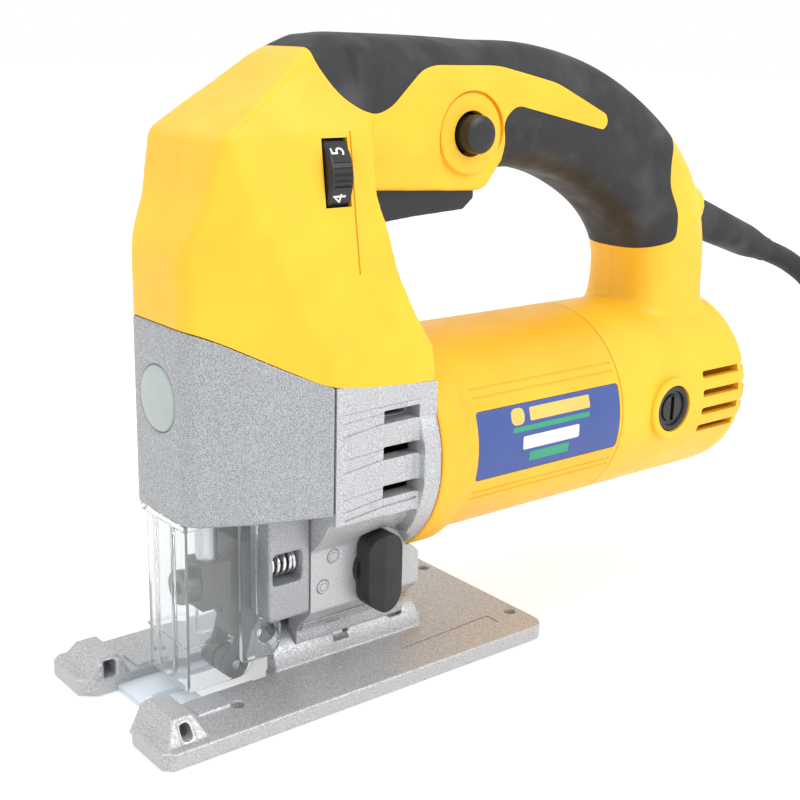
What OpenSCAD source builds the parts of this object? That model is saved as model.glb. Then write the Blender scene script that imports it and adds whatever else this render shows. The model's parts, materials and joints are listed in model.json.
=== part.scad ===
/* [Shoe] */
// Length of the shoe, front to rear
shoe_l = 150; // [140:1:160]
// Width of the shoe
shoe_w = 77; // [74:1:80]
// Thickness of the shoe plate
shoe_t = 5.4; // [5:0.1:6]
// Width of the open slot between the two front prongs
slot_w = 27.6; // [27.4:0.1:28]
// Radius of the half-round ridge that the saw tilts on
ridge_r = 14.5; // [14.4:0.05:14.6]

/* [Motor and gears] */
// Height of the motor axis above the sole
motor_z = 72.5; // [72:0.5:73]
// Outer radius of the motor barrel
barrel_r = 35.5; // [35:0.5:36]
// Teeth on the motor pinion
pinion_teeth = 9; // [9:1:9]
// Teeth on the drive gear
gear_teeth = 59; // [59:1:59]
// Gear module
gear_module = 0.75; // [0.75]
// Crank radius, half of the stroke
crank_r = 10; // [8:0.5:10]

/* [Body] */
// Distance of the plunger axis in front of the middle of the shoe
plunger_x = 38.5; // [38:0.5:39]
// Diameter of the plunger
plunger_d = 7; // [7:0.5:7.5]
// Rear end of the rear cover
rear_x = 190; // [188:1:192]
// Wall thickness of the moulded housing
wall = 2.5; // [2.2:0.1:2.8]
// Half of the handle's width over the rubber
grip_w = 19; // [18:0.5:19.5]
// Thickness of the rubber on the grip
rubber_t = 1.8; // [1.5:0.1:2]
// Travel of the trigger
trigger_travel = 5; // [4:0.5:5]

/* [Cord] */
// Diameter of the cord
cord_d = 9; // [8:0.5:9]

/* [Hidden] */

$fn = 48;
BIG = 400;                       // longer than any piece, for cuts
GAP = 0.3;                       // clearance between pieces that move
TILT_Z = 3;                      // height of the shoe's tilt axis
RIDGE_X = [-22, 37.5];           // ends of the ridge
PLUNGER_X = -plunger_x;
PITCH_R = gear_module * gear_teeth / 2;
PINION_R = gear_module * pinion_teeth / 2;
GEAR_Z = motor_z + PITCH_R + PINION_R;
GEAR_X = [-24, -16];             // faces of the drive gear
CASE_FLOOR = 61.7;               // underside of the gear case
CASE_SPLIT = -13;                // joint between the two gear case castings
FLANGE_X = 25;                   // joint between gear case and motor housing
COVER_X = 110.5;                 // joint between motor housing and rear cover
BRUSH_X = 137;                   // line through the two carbon brushes
DIAL_AT = [-7, -13, 162];        // centre of the speed wheel
DIAL_R = 14;
LOCK_AT = [49, 172.5];           // lock button, x and z
PIVOT_AT = [-8, 33.5];           // roller arm pivot, x and z
KNOB_AT = [11, 36.5];            // orbit knob, x and z
ROLLER_AT = [-32.3, 8.5];          // blade roller, x and z
ROLLER_R = 4.6;
BOLT_X = [5, 28];                // bolts that hold the shoe
RELIEF_FROM = [174, 139];        // root of the strain relief, x and z
RELIEF_DIP = 19.6;               // its slope below the horizontal
RELIEF_L = 62;

// ---------- helpers ----------
module along_x(x0, x1) {
  translate([x0, 0, 0]) rotate([90, 0, 90]) linear_extrude(x1 - x0) children();
}
module along_y(y0, y1) {
  translate([0, y1, 0]) rotate([90, 0, 0]) linear_extrude(y1 - y0) children();
}
module box(a, b) {
  translate(a) cube(b - a);
}
module rod_x(x0, x1, r, y = 0, z = 0) {
  translate([x0, y, z]) rotate([0, 90, 0]) cylinder(r = r, h = x1 - x0);
}
module rod_y(y0, y1, r, x = 0, z = 0) {
  translate([x, y0, z]) rotate([-90, 0, 0]) cylinder(r = r, h = y1 - y0);
}
module rod_z(z0, z1, r, x = 0, y = 0) {
  translate([x, y, z0]) cylinder(r = r, h = z1 - z0);
}
module both_sides() {
  children();
  mirror([0, 1, 0]) children();
}
module left_half() {
  intersection() {
    children();
    box([-BIG, -BIG, -BIG], [BIG, 0, BIG]);
  }
}
module right_half() {
  intersection() {
    children();
    box([-BIG, 0, -BIG], [BIG, BIG, BIG]);
  }
}
// Close an outline by mirroring its points across the middle plane
function mirror_xy(points) = concat(points,
  [for (i = [len(points) - 1 : -1 : 0]) [points[i][0], -points[i][1]]]);
function mirror_yz(points) = concat(points,
  [for (i = [len(points) - 1 : -1 : 0]) [-points[i][0], points[i][1]]]);

// ---------- housing shape ----------
// Each handle station: centre x, centre z, direction in degrees, half height
STATIONS = [
  [4, 179.5, 0, 23], [35, 179.5, 0, 22.5], [60, 180, 0, 21], [80, 180, -6, 20.5],
  [102, 175.5, -20, 20.5], [122, 167, -35, 20.5], [140, 155, -50, 20.5],
  [152, 141, -66, 20], [157.5, 126, -84, 19], [158, 110, -90, 19.5], [157, 99, -90, 24]
];
function side_point(s, side, inset) = [
  s[0] - side * sin(s[2]) * (s[3] - inset),
  s[1] + side * cos(s[2]) * (s[3] - inset)
];
function ribbon(inset, from = 0, to = len(STATIONS) - 1) = concat(
  [for (i = [from : to]) side_point(STATIONS[i], 1, inset)],
  [for (i = [to : -1 : from]) side_point(STATIONS[i], -1, inset)]
);
// A handle with stepped, rounded edges, drawn inset from the outside
module handle_shape(inset, from = 0, to = len(STATIONS) - 1) {
  for (layer = [[0, 0.62], [1.6, 0.8], [4.5, 0.93], [9, 1]]) {
    w = grip_w * layer[1] - inset;
    along_y(-w, w) polygon(ribbon(inset + layer[0], from, to));
  }
}
// Front body: seen from the side, from above and from the front
function front_side(t) = [
  [-54 + t, 121 - t * 3.5 / 9], [-54 + t, 141], [-48 + t, 156], [-46 + t, 174 - t],
  [-33, 182 - t], [-22, 189 - t], [-13, 196 - t], [-3, 201.5 - t], [8 - t, 202.5 - t],
  [8 - t, 156], [11 - t, 147], [14 - t, 133], [19 - t, 121], [FLANGE_X, 110 - t],
  [FLANGE_X, 99.5], [CASE_SPLIT, 102.5], [-24, 107], [-45, 117.5]
];
function wedge_plan(t) = mirror_xy([
  [-54 + t, -13.5 + t / 2], [-51.5 + t / 2, -17 + t], [-37, -24.4 + t],
  [-17, -31 + t], [CASE_SPLIT, -33 + t], [FLANGE_X, -34 + t]
]);
function front_view(t) = mirror_yz([
  [-34 + t, 61], [-34 + t, 100], [-29.5 + t, 125], [-25.5 + t, 150],
  [-22.5 + t, 175], [-19 + t, 195 - t], [-12, 203 - t]
]);
module front_shape(t) {
  intersection() {
    along_y(-BIG, BIG) polygon(front_side(t));
    linear_extrude(BIG) polygon(wedge_plan(t));
    along_x(-BIG, BIG) polygon(front_view(t));
  }
}
// Rear cover: a round cup with a large rounded end
module cover_shape(t) {
  round_r = 16;
  translate([0, 0, motor_z]) rotate([0, 90, 0]) rotate_extrude() {
    translate([0, COVER_X]) square([barrel_r - t, rear_x - round_r - COVER_X]);
    translate([0, COVER_X]) square([barrel_r - round_r, rear_x - t - COVER_X]);
    intersection() {
      translate([barrel_r - round_r, rear_x - round_r]) circle(r = round_r - t);
      translate([0, COVER_X]) square([barrel_r, BIG]);
    }
  }
}
module on_relief_axis() {
  translate([RELIEF_FROM[0], 0, RELIEF_FROM[1]]) rotate([0, 90 + RELIEF_DIP, 0]) children();
}
module cable_boss(r) {
  on_relief_axis() translate([0, 0, -14]) cylinder(r = r, h = 18);
}
// Where rubber covers the handle, seen from the side
RUBBER_SIDE = [
  [-3, 215], [0, 200], [5, 183], [9, 179.5], [14, 182], [26, 192], [60.5, 193.5],
  [86, 188], [110, 177.5], [111, 174.5], [109, 172], [67.5, 181], [61, 176],
  [63.5, 167], [60, 140], [120, 120], [136, 127.5], [152, 131], [152, 141],
  [146, 151], [146, 160], [152, 172], [165, 190], [150, 215]
];
module rubber_skin() {
  intersection() {
    difference() {
      handle_shape(0);
      handle_shape(rubber_t);
    }
    along_y(-BIG, BIG) polygon(RUBBER_SIDE);
  }
}
SCREW_AT = [[-38, 158], [-10, 188], [88, 180], [158, 116], [120, 47], [176, 52]];
SCREW_HEAD_Y = [15, 14, 12, 13, 22, 22];
module housing_shell() {
  difference() {
    union() {
      front_shape(0);
      handle_shape(0);
      cover_shape(0);
      cable_boss(11);
      both_sides() rod_y(-barrel_r - 1.2, -barrel_r + 4, 11.3, BRUSH_X, motor_z);
    }
    rubber_skin();
    difference() {
      union() {
        front_shape(wall);
        handle_shape(wall + rubber_t);
        cover_shape(wall);
      }
      for (i = [0 : len(SCREW_AT) - 1])
        rod_y(-barrel_r, barrel_r, 4, SCREW_AT[i][0], SCREW_AT[i][1]);
      // wall that carries the rear bearing, with windows for cooling air
      difference() {
        rod_x(152, 156, barrel_r, 0, motor_z);
        for (a = [30 : 60 : 330])
          rod_x(151, 157, 6, 22 * cos(a), motor_z + 22 * sin(a));
      }
      rod_x(147.5, 160, 13.5, 0, motor_z);
      both_sides() rod_y(-barrel_r, -14.5, 9.7, BRUSH_X, motor_z);
    }
    // the motor housing's bore runs on through the front of the cover
    rod_x(147, 162, 11, 0, motor_z);
    rod_x(100, 151.9, 13.2, 0, motor_z);
    // brush sockets
    both_sides() {
      rod_y(-BIG, -28.5, 8.7, BRUSH_X, motor_z);
      rod_y(-30, 0, 6.2, BRUSH_X, motor_z);
    }
    // cooling slots that wrap round the rear edge
    for (z = [-11.5, -4.5, 2.5, 9.5]) {
      both_sides() box([155, -BIG, motor_z + z - 1.3], [rear_x + 1, -14, motor_z + z + 1.3]);
    }
    // trigger, lock button and speed wheel openings
    box([12, -10.4, 140], [59.2, 10.4, 166]);
    rod_y(-BIG, 0, 7, LOCK_AT[0], LOCK_AT[1]);
    rod_y(-BIG, -grip_w + 2, 13, LOCK_AT[0], LOCK_AT[1]);
    rod_x(DIAL_AT[0] - 4.6, DIAL_AT[0] + 4.6, DIAL_R + 0.6, DIAL_AT[1], DIAL_AT[2]);
    // cable exit
    cable_boss(8.1);
    on_relief_axis() translate([0, 0, -30]) cylinder(r = 5, h = 60);
    // screws, from the right side
    for (i = [0 : len(SCREW_AT) - 1]) {
      rod_y(-11, BIG, 2, SCREW_AT[i][0], SCREW_AT[i][1]);
      rod_y(SCREW_HEAD_Y[i], BIG, 3.6, SCREW_AT[i][0], SCREW_AT[i][1]);
    }
  }
}
module housing_left() {
  color("#ffc82d") left_half() housing_shell();
}
module housing_right() {
  color("#f7bf26") right_half() housing_shell();
}
module grip_left() {
  color("#35373a") left_half() rubber_skin();
}
module grip_right() {
  color("#35373a") right_half() rubber_skin();
}

// ---------- motor ----------
STATOR_X = [50, 92];
STATOR_R = 31;
module motor_housing() {
  color("#ffc82d") difference() {
    union() {
      rod_x(FLANGE_X, COVER_X, barrel_r, 0, motor_z);
      rod_x(FLANGE_X, FLANGE_X + 12, barrel_r + 2.5, 0, motor_z);
    }
    difference() {
      rod_x(FLANGE_X - 1, COVER_X + 1, barrel_r - wall, 0, motor_z);
      for (a = [45 : 90 : 315])
        translate([STATOR_X[0] - 4, 0, motor_z]) rotate([a, 0, 0])
          box([0, -4, STATOR_R], [STATOR_X[1] - STATOR_X[0] + 8, 4, barrel_r - 1]);
    }
    // shallow field for the name plate
    label_field(0.6);
  }
}
LABEL_X = [42, 109];
module label_field(depth) {
  difference() {
    box([LABEL_X[0], -barrel_r - 1, motor_z - 10], [LABEL_X[1], -20, motor_z + 13.3]);
    rod_x(LABEL_X[0] - 1, LABEL_X[1] + 1, barrel_r - depth, 0, motor_z);
  }
}
module name_plate() {
  color("#3d569b") intersection() {
    label_field(0.6);
    rod_x(LABEL_X[0] - 1, LABEL_X[1] + 1, barrel_r - 0.1, 0, motor_z);
  }
}
module stator_core() {
  color("#8b8e92") difference() {
    rod_x(STATOR_X[0], STATOR_X[1], STATOR_R, 0, motor_z);
    rod_x(STATOR_X[0] - 1, STATOR_X[1] + 1, 21.3, 0, motor_z);
    both_sides() box([STATOR_X[0] - 1, -27, motor_z - 7], [STATOR_X[1] + 1, -20, motor_z + 7]);
  }
}
module field_coils() {
  color("#b5652b") for (side = [0, 1])
    intersection() {
      difference() {
        for (x = [STATOR_X[0] - 8, STATOR_X[1]]) rod_x(x, x + 8, 29, 0, motor_z);
        rod_x(STATOR_X[0] - 9, STATOR_X[1] + 9, 23, 0, motor_z);
      }
      translate([0, -BIG / 2, motor_z + 2]) translate([0, 0, -side * (BIG + 4)]) cube(BIG);
    }
}
module armature() {
  color("#9a9c9f") union() {
    rod_x(-15, 162, 4, 0, motor_z);
    translate([GEAR_X[0], 0, motor_z]) rotate([0, 90, 0])
      linear_extrude(GEAR_X[1] - GEAR_X[0] + 2) gear_outline(pinion_teeth, 0);
    difference() {
      rod_x(STATOR_X[0], STATOR_X[1], 20.5, 0, motor_z);
      for (a = [0 : 30 : 330])
        translate([0, 0, motor_z]) rotate([a, 0, 0])
          box([STATOR_X[0] - 1, -1, 17], [STATOR_X[1] + 1, 1, 22]);
    }
    rod_x(STATOR_X[0] - 7, STATOR_X[1] + 7, 15.5, 0, motor_z);
  }
}
module commutator() {
  color("#c07a3c") difference() {
    rod_x(BRUSH_X - 7, BRUSH_X + 8, 12, 0, motor_z);
    rod_x(BRUSH_X - 8, BRUSH_X + 9, 4, 0, motor_z);
    for (a = [0 : 30 : 330])
      translate([0, 0, motor_z]) rotate([a, 0, 0])
        box([BRUSH_X - 8, -0.3, 11], [BRUSH_X + 9, 0.3, 13]);
  }
}
FAN_X = [3, 15];
module cooling_fan() {
  color("#26282b") difference() {
    union() {
      rod_x(FAN_X[0], FAN_X[1], 8, 0, motor_z);
      rod_x(FAN_X[0], FAN_X[0] + 1.6, 28, 0, motor_z);
      for (a = [0 : 30 : 330])
        translate([0, 0, motor_z]) rotate([a, 0, 0])
          box([FAN_X[0] + 1, -0.8, 7], [FAN_X[1], 0.8, 27.5]);
    }
    rod_x(FAN_X[0] - 1, FAN_X[1] + 1, 4, 0, motor_z);
  }
}
module motor_bearings() {
  color("#c4c7ca") for (x = [-11, 152])
    difference() {
      rod_x(x, x + 7, 11, 0, motor_z);
      rod_x(x - 1, x + 8, 4.03, 0, motor_z);
      for (face = [x - 1, x + 6.3])
        difference() {
          rod_x(face, face + 1.7, 8.6, 0, motor_z);
          rod_x(face - 1, face + 3, 6, 0, motor_z);
        }
    }
}
module brush_holders() {
  color("#a8752f") both_sides() difference() {
    rod_y(-28.5, -14.6, 6.2, BRUSH_X, motor_z);
    box([BRUSH_X - 3.2, -30, motor_z - 4.2], [BRUSH_X + 3.2, -14, motor_z + 4.2]);
  }
}
module carbon_brushes() {
  color("#2c2c2e") both_sides()
    box([BRUSH_X - 3.2, -23, motor_z - 4.2], [BRUSH_X + 3.2, -12.3, motor_z + 4.2]);
}
module brush_cap() {
  difference() {
    union() {
      rod_y(-barrel_r - 0.6, -28.5, 8.7, BRUSH_X, motor_z);
      rod_y(-29, -23, 2.4, BRUSH_X, motor_z);
    }
    difference() {
      rod_y(-barrel_r - 1, -barrel_r + 0.4, 7, BRUSH_X, motor_z);
      rod_y(-barrel_r - 2, -barrel_r + 2, 5.4, BRUSH_X, motor_z);
    }
    box([BRUSH_X - 1, -barrel_r - 1, motor_z - 5], [BRUSH_X + 1, -barrel_r + 1.2, motor_z + 5]);
  }
}
module brush_cap_left() {
  color("#17181a") brush_cap();
}
module brush_cap_right() {
  color("#17181a") mirror([0, 1, 0]) brush_cap();
}

// ---------- gear train ----------
PRESSURE = 25;
BACKLASH = 0.14;
function involute(a) = tan(a) * 180 / PI - a;
function tooth_half(r, pitch, teeth) =
  90 / teeth - BACKLASH / pitch * 90 / PI + involute(PRESSURE)
  - involute(acos(min(1, pitch * cos(PRESSURE) / r)));
function flank_radii(pitch) =
  let (low = max(pitch * cos(PRESSURE), pitch - 0.95 * gear_module), high = pitch + 0.8 * gear_module)
  [for (i = [0 : 3]) low + (high - low) * i / 3];
// One gear seen from the front; phase is in tooth pitches
module gear_outline(teeth, phase) {
  pitch = gear_module * teeth / 2;
  root = pitch - 1.1 * gear_module;
  radii = flank_radii(pitch);
  step = 360 / teeth;
  polygon([for (k = [0 : teeth - 1]) each concat(
    [root * [cos((k + phase) * step - tooth_half(radii[0], pitch, teeth)),
      sin((k + phase) * step - tooth_half(radii[0], pitch, teeth))]],
    [for (r = radii) r * [cos((k + phase) * step - tooth_half(r, pitch, teeth)),
      sin((k + phase) * step - tooth_half(r, pitch, teeth))]],
    [for (i = [3 : -1 : 0]) radii[i] * [cos((k + phase) * step + tooth_half(radii[i], pitch, teeth)),
      sin((k + phase) * step + tooth_half(radii[i], pitch, teeth))]],
    [root * [cos((k + phase) * step + tooth_half(radii[0], pitch, teeth)),
      sin((k + phase) * step + tooth_half(radii[0], pitch, teeth))]]
  )]);
}
module drive_gear() {
  color("#b9bcc0") difference() {
    union() {
      translate([GEAR_X[0], 0, GEAR_Z]) rotate([0, 90, 0])
        linear_extrude(GEAR_X[1] - GEAR_X[0]) gear_outline(gear_teeth, 0);
      rod_x(GEAR_X[0] - 4.4, GEAR_X[0] + 1, 3.2, crank_r, GEAR_Z);
      rod_x(GEAR_X[1] - 1, GEAR_X[1] + 2.6, 7, 0, GEAR_Z);
    }
    rod_x(-BIG, BIG, 4.04, 0, GEAR_Z);
    for (a = [90, 150, 210, 270])
      rod_x(GEAR_X[0] - 1, GEAR_X[1] + 1, 3, 12.5 * cos(a), GEAR_Z + 12.5 * sin(a));
  }
}
module gear_axle() {
  color("#c9ccd0") rod_x(GEAR_X[0] - 1, -4.5, 4, 0, GEAR_Z);
}
YOKE_X = [PLUNGER_X + 3, GEAR_X[0] - 5];
module plunger() {
  color("#d2d5d8") union() {
    rod_z(41, 132, plunger_d / 2, PLUNGER_X, 0);
    difference() {
      union() {
        box([YOKE_X[0], -15.5, GEAR_Z - 7.5], [YOKE_X[1], 15.5, GEAR_Z + 7.5]);
        box([PLUNGER_X - 5, -5, GEAR_Z - 7.5], [YOKE_X[1], 5, GEAR_Z + 7.5]);
      }
      along_x(YOKE_X[1] - 3.5, YOKE_X[1] + 1) translate([0, GEAR_Z]) {
        square([2 * crank_r, 6.6], center = true);
        for (y = [-crank_r, crank_r]) translate([y, 0]) circle(r = 3.3);
      }
    }
  }
}
module plunger_bushes() {
  color("#b08d4a") for (z = [[CASE_FLOOR, 67.5], [120, 128]])
    difference() {
      rod_z(z[0], z[1], 6.4, PLUNGER_X, 0);
      rod_z(z[0] - 1, z[1] + 1, plunger_d / 2 + 0.05, PLUNGER_X, 0);
    }
}
module blade_clamp() {
  color("#3a3c3f") difference() {
    union() {
      box([PLUNGER_X - 4.8, -5.6, 29], [PLUNGER_X + 5.4, 5.6, 44]);
      rod_z(25, 30, 1.2, PLUNGER_X + 4.1, 0);
    }
    rod_z(41, 50, plunger_d / 2, PLUNGER_X, 0);
    // slot that takes the blade's shank
    box([PLUNGER_X - 3.8, -0.8, 20], [PLUNGER_X + 2.8, 0.8, 40]);
    rod_x(PLUNGER_X - 8, PLUNGER_X - 3.6, 2.5, 0, 36.5);
  }
}
module clamp_screw() {
  color("#46484b") difference() {
    union() {
      rod_x(PLUNGER_X - 10, PLUNGER_X - 4.8, 5.5, 0, 36.5);
      rod_x(PLUNGER_X - 5, PLUNGER_X - 3.8, 2.5, 0, 36.5);
    }
    translate([PLUNGER_X - 11, 0, 36.5]) rotate([0, 90, 0]) cylinder(r = 2.3, h = 4, $fn = 6);
  }
}

// ---------- gear case castings ----------
CASE_WALL = 3.5;
// Side outline of the silver front casting below the yellow cover
FRONT_CASE_SIDE = [
  [-54, CASE_FLOOR], [-54, 121], [-45, 117.5], [-24, 107], [CASE_SPLIT, 102.5],
  [CASE_SPLIT, CASE_FLOOR]
];
TOWER_TOP = 128;
BLOCK_W = 20;                    // half width of the lower block
ARM_ROOM = 7.5;                  // half width of the roller arm's channel
SPRING_AT = [-13.6, 43];         // arm spring, y and z
CASE_SCREWS = [[23.8, 68], [23.8, 80]];
module gear_case_front() {
  color("#b4b7b9") difference() {
    union() {
      intersection() {
        along_y(-BIG, BIG) polygon(FRONT_CASE_SIDE);
        linear_extrude(BIG) polygon(wedge_plan(0));
      }
      // part that stands up inside the yellow cover
      intersection() {
        linear_extrude(TOWER_TOP) polygon(wedge_plan(wall + 0.6));
        box([-BIG, -25.5, CASE_FLOOR + 1], [CASE_SPLIT, 25.5, TOWER_TOP]);
      }
      box([-28, -BLOCK_W, 26], [CASE_SPLIT, BLOCK_W, CASE_FLOOR + 1]);
    }
    difference() {
      union() {
        intersection() {
          linear_extrude(101) polygon(wedge_plan(CASE_WALL));
          box([-BIG, -BIG, 66], [CASE_SPLIT + 1, BIG, 101]);
        }
        intersection() {
          linear_extrude(TOWER_TOP - 6) polygon(wedge_plan(wall + 3));
          box([-BIG, -23.1, 66], [CASE_SPLIT + 1, 23.1, TOWER_TOP - 6]);
        }
      }
      both_sides() for (s = CASE_SCREWS) rod_x(-27, CASE_SPLIT, 3.5, s[0], s[1]);
    }
    both_sides() for (s = CASE_SCREWS) rod_x(-25, CASE_SPLIT + 1, 2, s[0], s[1]);
    // bores for the two plunger bushes
    rod_z(CASE_FLOOR - 1, TOWER_TOP + 1, 6.4, PLUNGER_X, 0);
    // round plug in the front
    rod_x(-55, -52.4, 10.2, 0, 98);
    // channel for the roller arm and pocket for its spring
    box([-29, -ARM_ROOM, 25], [CASE_SPLIT + 1, ARM_ROOM, 58]);
    box([-26.5, -BLOCK_W - 1, 38], [-16, -9.2, 48]);
  }
}
VENT_Z = [90.5, 79, 66.5];
FAN_ROOM = 28.8;
module gear_case_rear() {
  color("#b9bcbe") difference() {
    union() {
      rod_x(CASE_SPLIT, FLANGE_X, 33, 0, motor_z);
      intersection() {
        rod_x(18, FLANGE_X, barrel_r + 2, 0, motor_z);
        box([0, -BIG, 0], [BIG, BIG, 99.4]);
      }
      intersection() {
        along_y(-BIG, BIG) polygon([
          [CASE_SPLIT, 58.5], [FLANGE_X, 58.5], [FLANGE_X, 99.4], [CASE_SPLIT, 102.4]
        ]);
        linear_extrude(BIG) polygon(wedge_plan(0));
      }
      // wall that closes the back of the gear case
      box([CASE_SPLIT, -25.5, 90], [-9, 25.5, TOWER_TOP]);
      foot();
    }
    // fan chamber
    rod_x(-4, FLANGE_X + 1, FAN_ROOM, 0, motor_z);
    // seats of the front bearing and the gear axle
    rod_x(-11, -3, 11, 0, motor_z);
    rod_x(CASE_SPLIT - 1, -10, 6, 0, motor_z);
    rod_x(CASE_SPLIT - 1, -3, 4, 0, GEAR_Z);
    both_sides() for (s = CASE_SCREWS) rod_x(CASE_SPLIT - 1, -3, 2, s[0], s[1]);
    // air outlets
    both_sides() for (z = VENT_Z) box([5.2, -BIG, z - 1.7], [17.6, -20, z + 1.7]);
    foot_cuts();
  }
}
FOOT_X = [CASE_SPLIT, 31];
STOP_AT = PIVOT_AT + [4, 9.5];
KNOB_SWEEP = 14;
module foot() {
  along_x(FOOT_X[0], FOOT_X[1]) polygon(mirror_yz([
    [-BLOCK_W, 52], [-BLOCK_W, 25.5], [-14, 19.5], [-12.2, 16.5], [-12.2, 10]
  ]));
}
module foot_cuts() {
  rod_x(FOOT_X[0] - 1, FOOT_X[1] + 1, ridge_r + GAP, 0, TILT_Z);
  box([FOOT_X[0] - 1, -ARM_ROOM, 10], [-2, ARM_ROOM, 39]);
  rod_y(-BIG, BIG, 2.25, PIVOT_AT[0], PIVOT_AT[1]);
  rod_y(-BIG, BIG, 2.25, STOP_AT[0], STOP_AT[1]);
  // orbit knob: its shaft and the round recess it turns in
  rod_y(-BIG, -BLOCK_W - 0.2, KNOB_SWEEP, KNOB_AT[0], KNOB_AT[1]);
  rod_y(-BIG, -8, 4.06, KNOB_AT[0], KNOB_AT[1]);
  for (x = BOLT_X) rod_z(0, 33, 2.5, x, 0);
  // room for the motor housing's front ring
  rod_x(FLANGE_X, FOOT_X[1] + 1, barrel_r + 2.5, 0, motor_z);
  // rear end sloped up to the flange
  along_y(-BIG, BIG) polygon([[FOOT_X[1] + 1, 36], [FOOT_X[1] + 1, 60], [FLANGE_X, 60],
    [FLANGE_X, 42]]);
}
module front_plug() {
  color("#a9b3ae") rod_x(-54.3, -52.4, 10.2, 0, 98);
}
module case_screws() {
  color("#8f9295") both_sides() for (s = CASE_SCREWS) {
    rod_x(-24, -4, 2, s[0], s[1]);
    difference() {
      rod_x(-4, -1.4, 3, s[0], s[1]);
      translate([-2.6, s[0], s[1]]) rotate([0, 90, 0]) cylinder(r = 1.6, h = 3, $fn = 6);
    }
  }
}

// ---------- blade support ----------
ARM_W = 6.8;
module roller_arm() {
  color("#55585b") difference() {
    union() {
      along_y(-ARM_W, ARM_W) polygon([
        [-31, 50], [-24, 50], [-22, 38], PIVOT_AT + [0, 3.6], PIVOT_AT - [0, 3.6],
        [-21, 27], [-26.6, 20], ROLLER_AT + [3.6, 0], ROLLER_AT - [2, 0], [-31.4, 20]
      ]);
      rod_y(-ARM_W, ARM_W, 4.4, PIVOT_AT[0], PIVOT_AT[1]);
      rod_y(-ARM_W, ARM_W, 4.5, ROLLER_AT[0], ROLLER_AT[1]);
    }
    rod_y(-BIG, BIG, 2.3, PIVOT_AT[0], PIVOT_AT[1]);
    rod_y(-BIG, BIG, 1.5, ROLLER_AT[0], ROLLER_AT[1]);
    // fork round the roller, and the hollow behind
    box([-40, -4.6, 0], [-20, 4.6, 17]);
    box([-23, -4, 18], [0, 4, 60]);
  }
}
module arm_pivot_pin() {
  color("#a7aaad") rod_y(-BLOCK_W - 0.2, BLOCK_W, 2.25, PIVOT_AT[0], PIVOT_AT[1]);
}
module stop_pin() {
  color("#a7aaad") rod_y(-BLOCK_W - 0.2, BLOCK_W, 2.25, STOP_AT[0], STOP_AT[1]);
}
module blade_roller() {
  color("#4a4c4f") translate([ROLLER_AT[0], 0, ROLLER_AT[1]]) rotate([90, 0, 0])
    rotate_extrude() polygon([
      [1.55, -4.2], [ROLLER_R, -4.2], [ROLLER_R, -0.8], [ROLLER_R - 1.2, -0.8],
      [ROLLER_R - 1.2, 0.8], [ROLLER_R, 0.8], [ROLLER_R, 4.2], [1.55, 4.2]
    ]);
}
module roller_pin() {
  color("#a7aaad") rod_y(-ARM_W, ARM_W, 1.5, ROLLER_AT[0], ROLLER_AT[1]);
}
// Knob: a bar with round ends on a shaft
KNOB_W = 12.6;
KNOB_L = 26.6;
module orbit_knob() {
  color("#1c1d1f") union() {
    along_y(-29.5, -BLOCK_W - 0.5) translate(KNOB_AT) {
      square([KNOB_W, KNOB_L - KNOB_W], center = true);
      for (z = [-1, 1]) translate([0, z * (KNOB_L - KNOB_W) / 2]) circle(r = KNOB_W / 2);
    }
    rod_y(-BLOCK_W - 1, -9, 4, KNOB_AT[0], KNOB_AT[1]);
  }
}
// A wound spring along Z from the origin
module coil_spring(r, wire, length, turns) {
  sides = 6;
  steps = turns * 10;
  ring = function(i) let (a = 360 * i / 10, z = wire + (length - 2 * wire) * i / steps)
    [for (k = [0 : sides - 1]) let (b = 360 * k / sides)
      [(r + wire * cos(b)) * cos(a), (r + wire * cos(b)) * sin(a), z + wire * sin(b)]];
  points = [for (i = [0 : steps]) each ring(i)];
  faces = concat(
    [[for (k = [0 : sides - 1]) k]],
    [[for (k = [sides - 1 : -1 : 0]) steps * sides + k]],
    [for (i = [0 : steps - 1]) for (k = [0 : sides - 1]) let (n = (k + 1) % sides)
      each [[i * sides + k, (i + 1) * sides + k, (i + 1) * sides + n],
        [i * sides + k, (i + 1) * sides + n, i * sides + n]]]
  );
  polyhedron(points, faces);
}
module arm_spring() {
  color("#d6d8da") translate([-26.3, SPRING_AT[0], SPRING_AT[1]]) rotate([0, 90, 0])
    coil_spring(3.4, 0.7, 10.1, 5);
}
GUARD_X = [-52.5, -28];
GUARD_W = 12.2;
GUARD_Z = 6.4;
module blade_guard() {
  color("#cfe0e8", 0.4) difference() {
    union() {
      box([GUARD_X[0], -GUARD_W, GUARD_Z], [GUARD_X[1], GUARD_W, CASE_FLOOR]);
      box([GUARD_X[0] - 1.2, -GUARD_W - 1.2, CASE_FLOOR - 2],
        [GUARD_X[0] + 4, GUARD_W + 1.2, CASE_FLOOR]);
      both_sides() along_y(-GUARD_W - 2, -GUARD_W + 0.1) polygon([
        [-36, CASE_FLOOR], [-28.4, CASE_FLOOR], [-28.4, 25.6], [-21, 25.6], [-20, 22],
        [-20, 15], [-23, 12], [-36, 10]
      ]);
    }
    box([GUARD_X[0] + 1.3, -GUARD_W + 1.3, -1], [BIG, GUARD_W - 1.3, BIG]);
    rod_y(-BIG, BIG, 3.6, -24.5, 19.5);
  }
}

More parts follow.
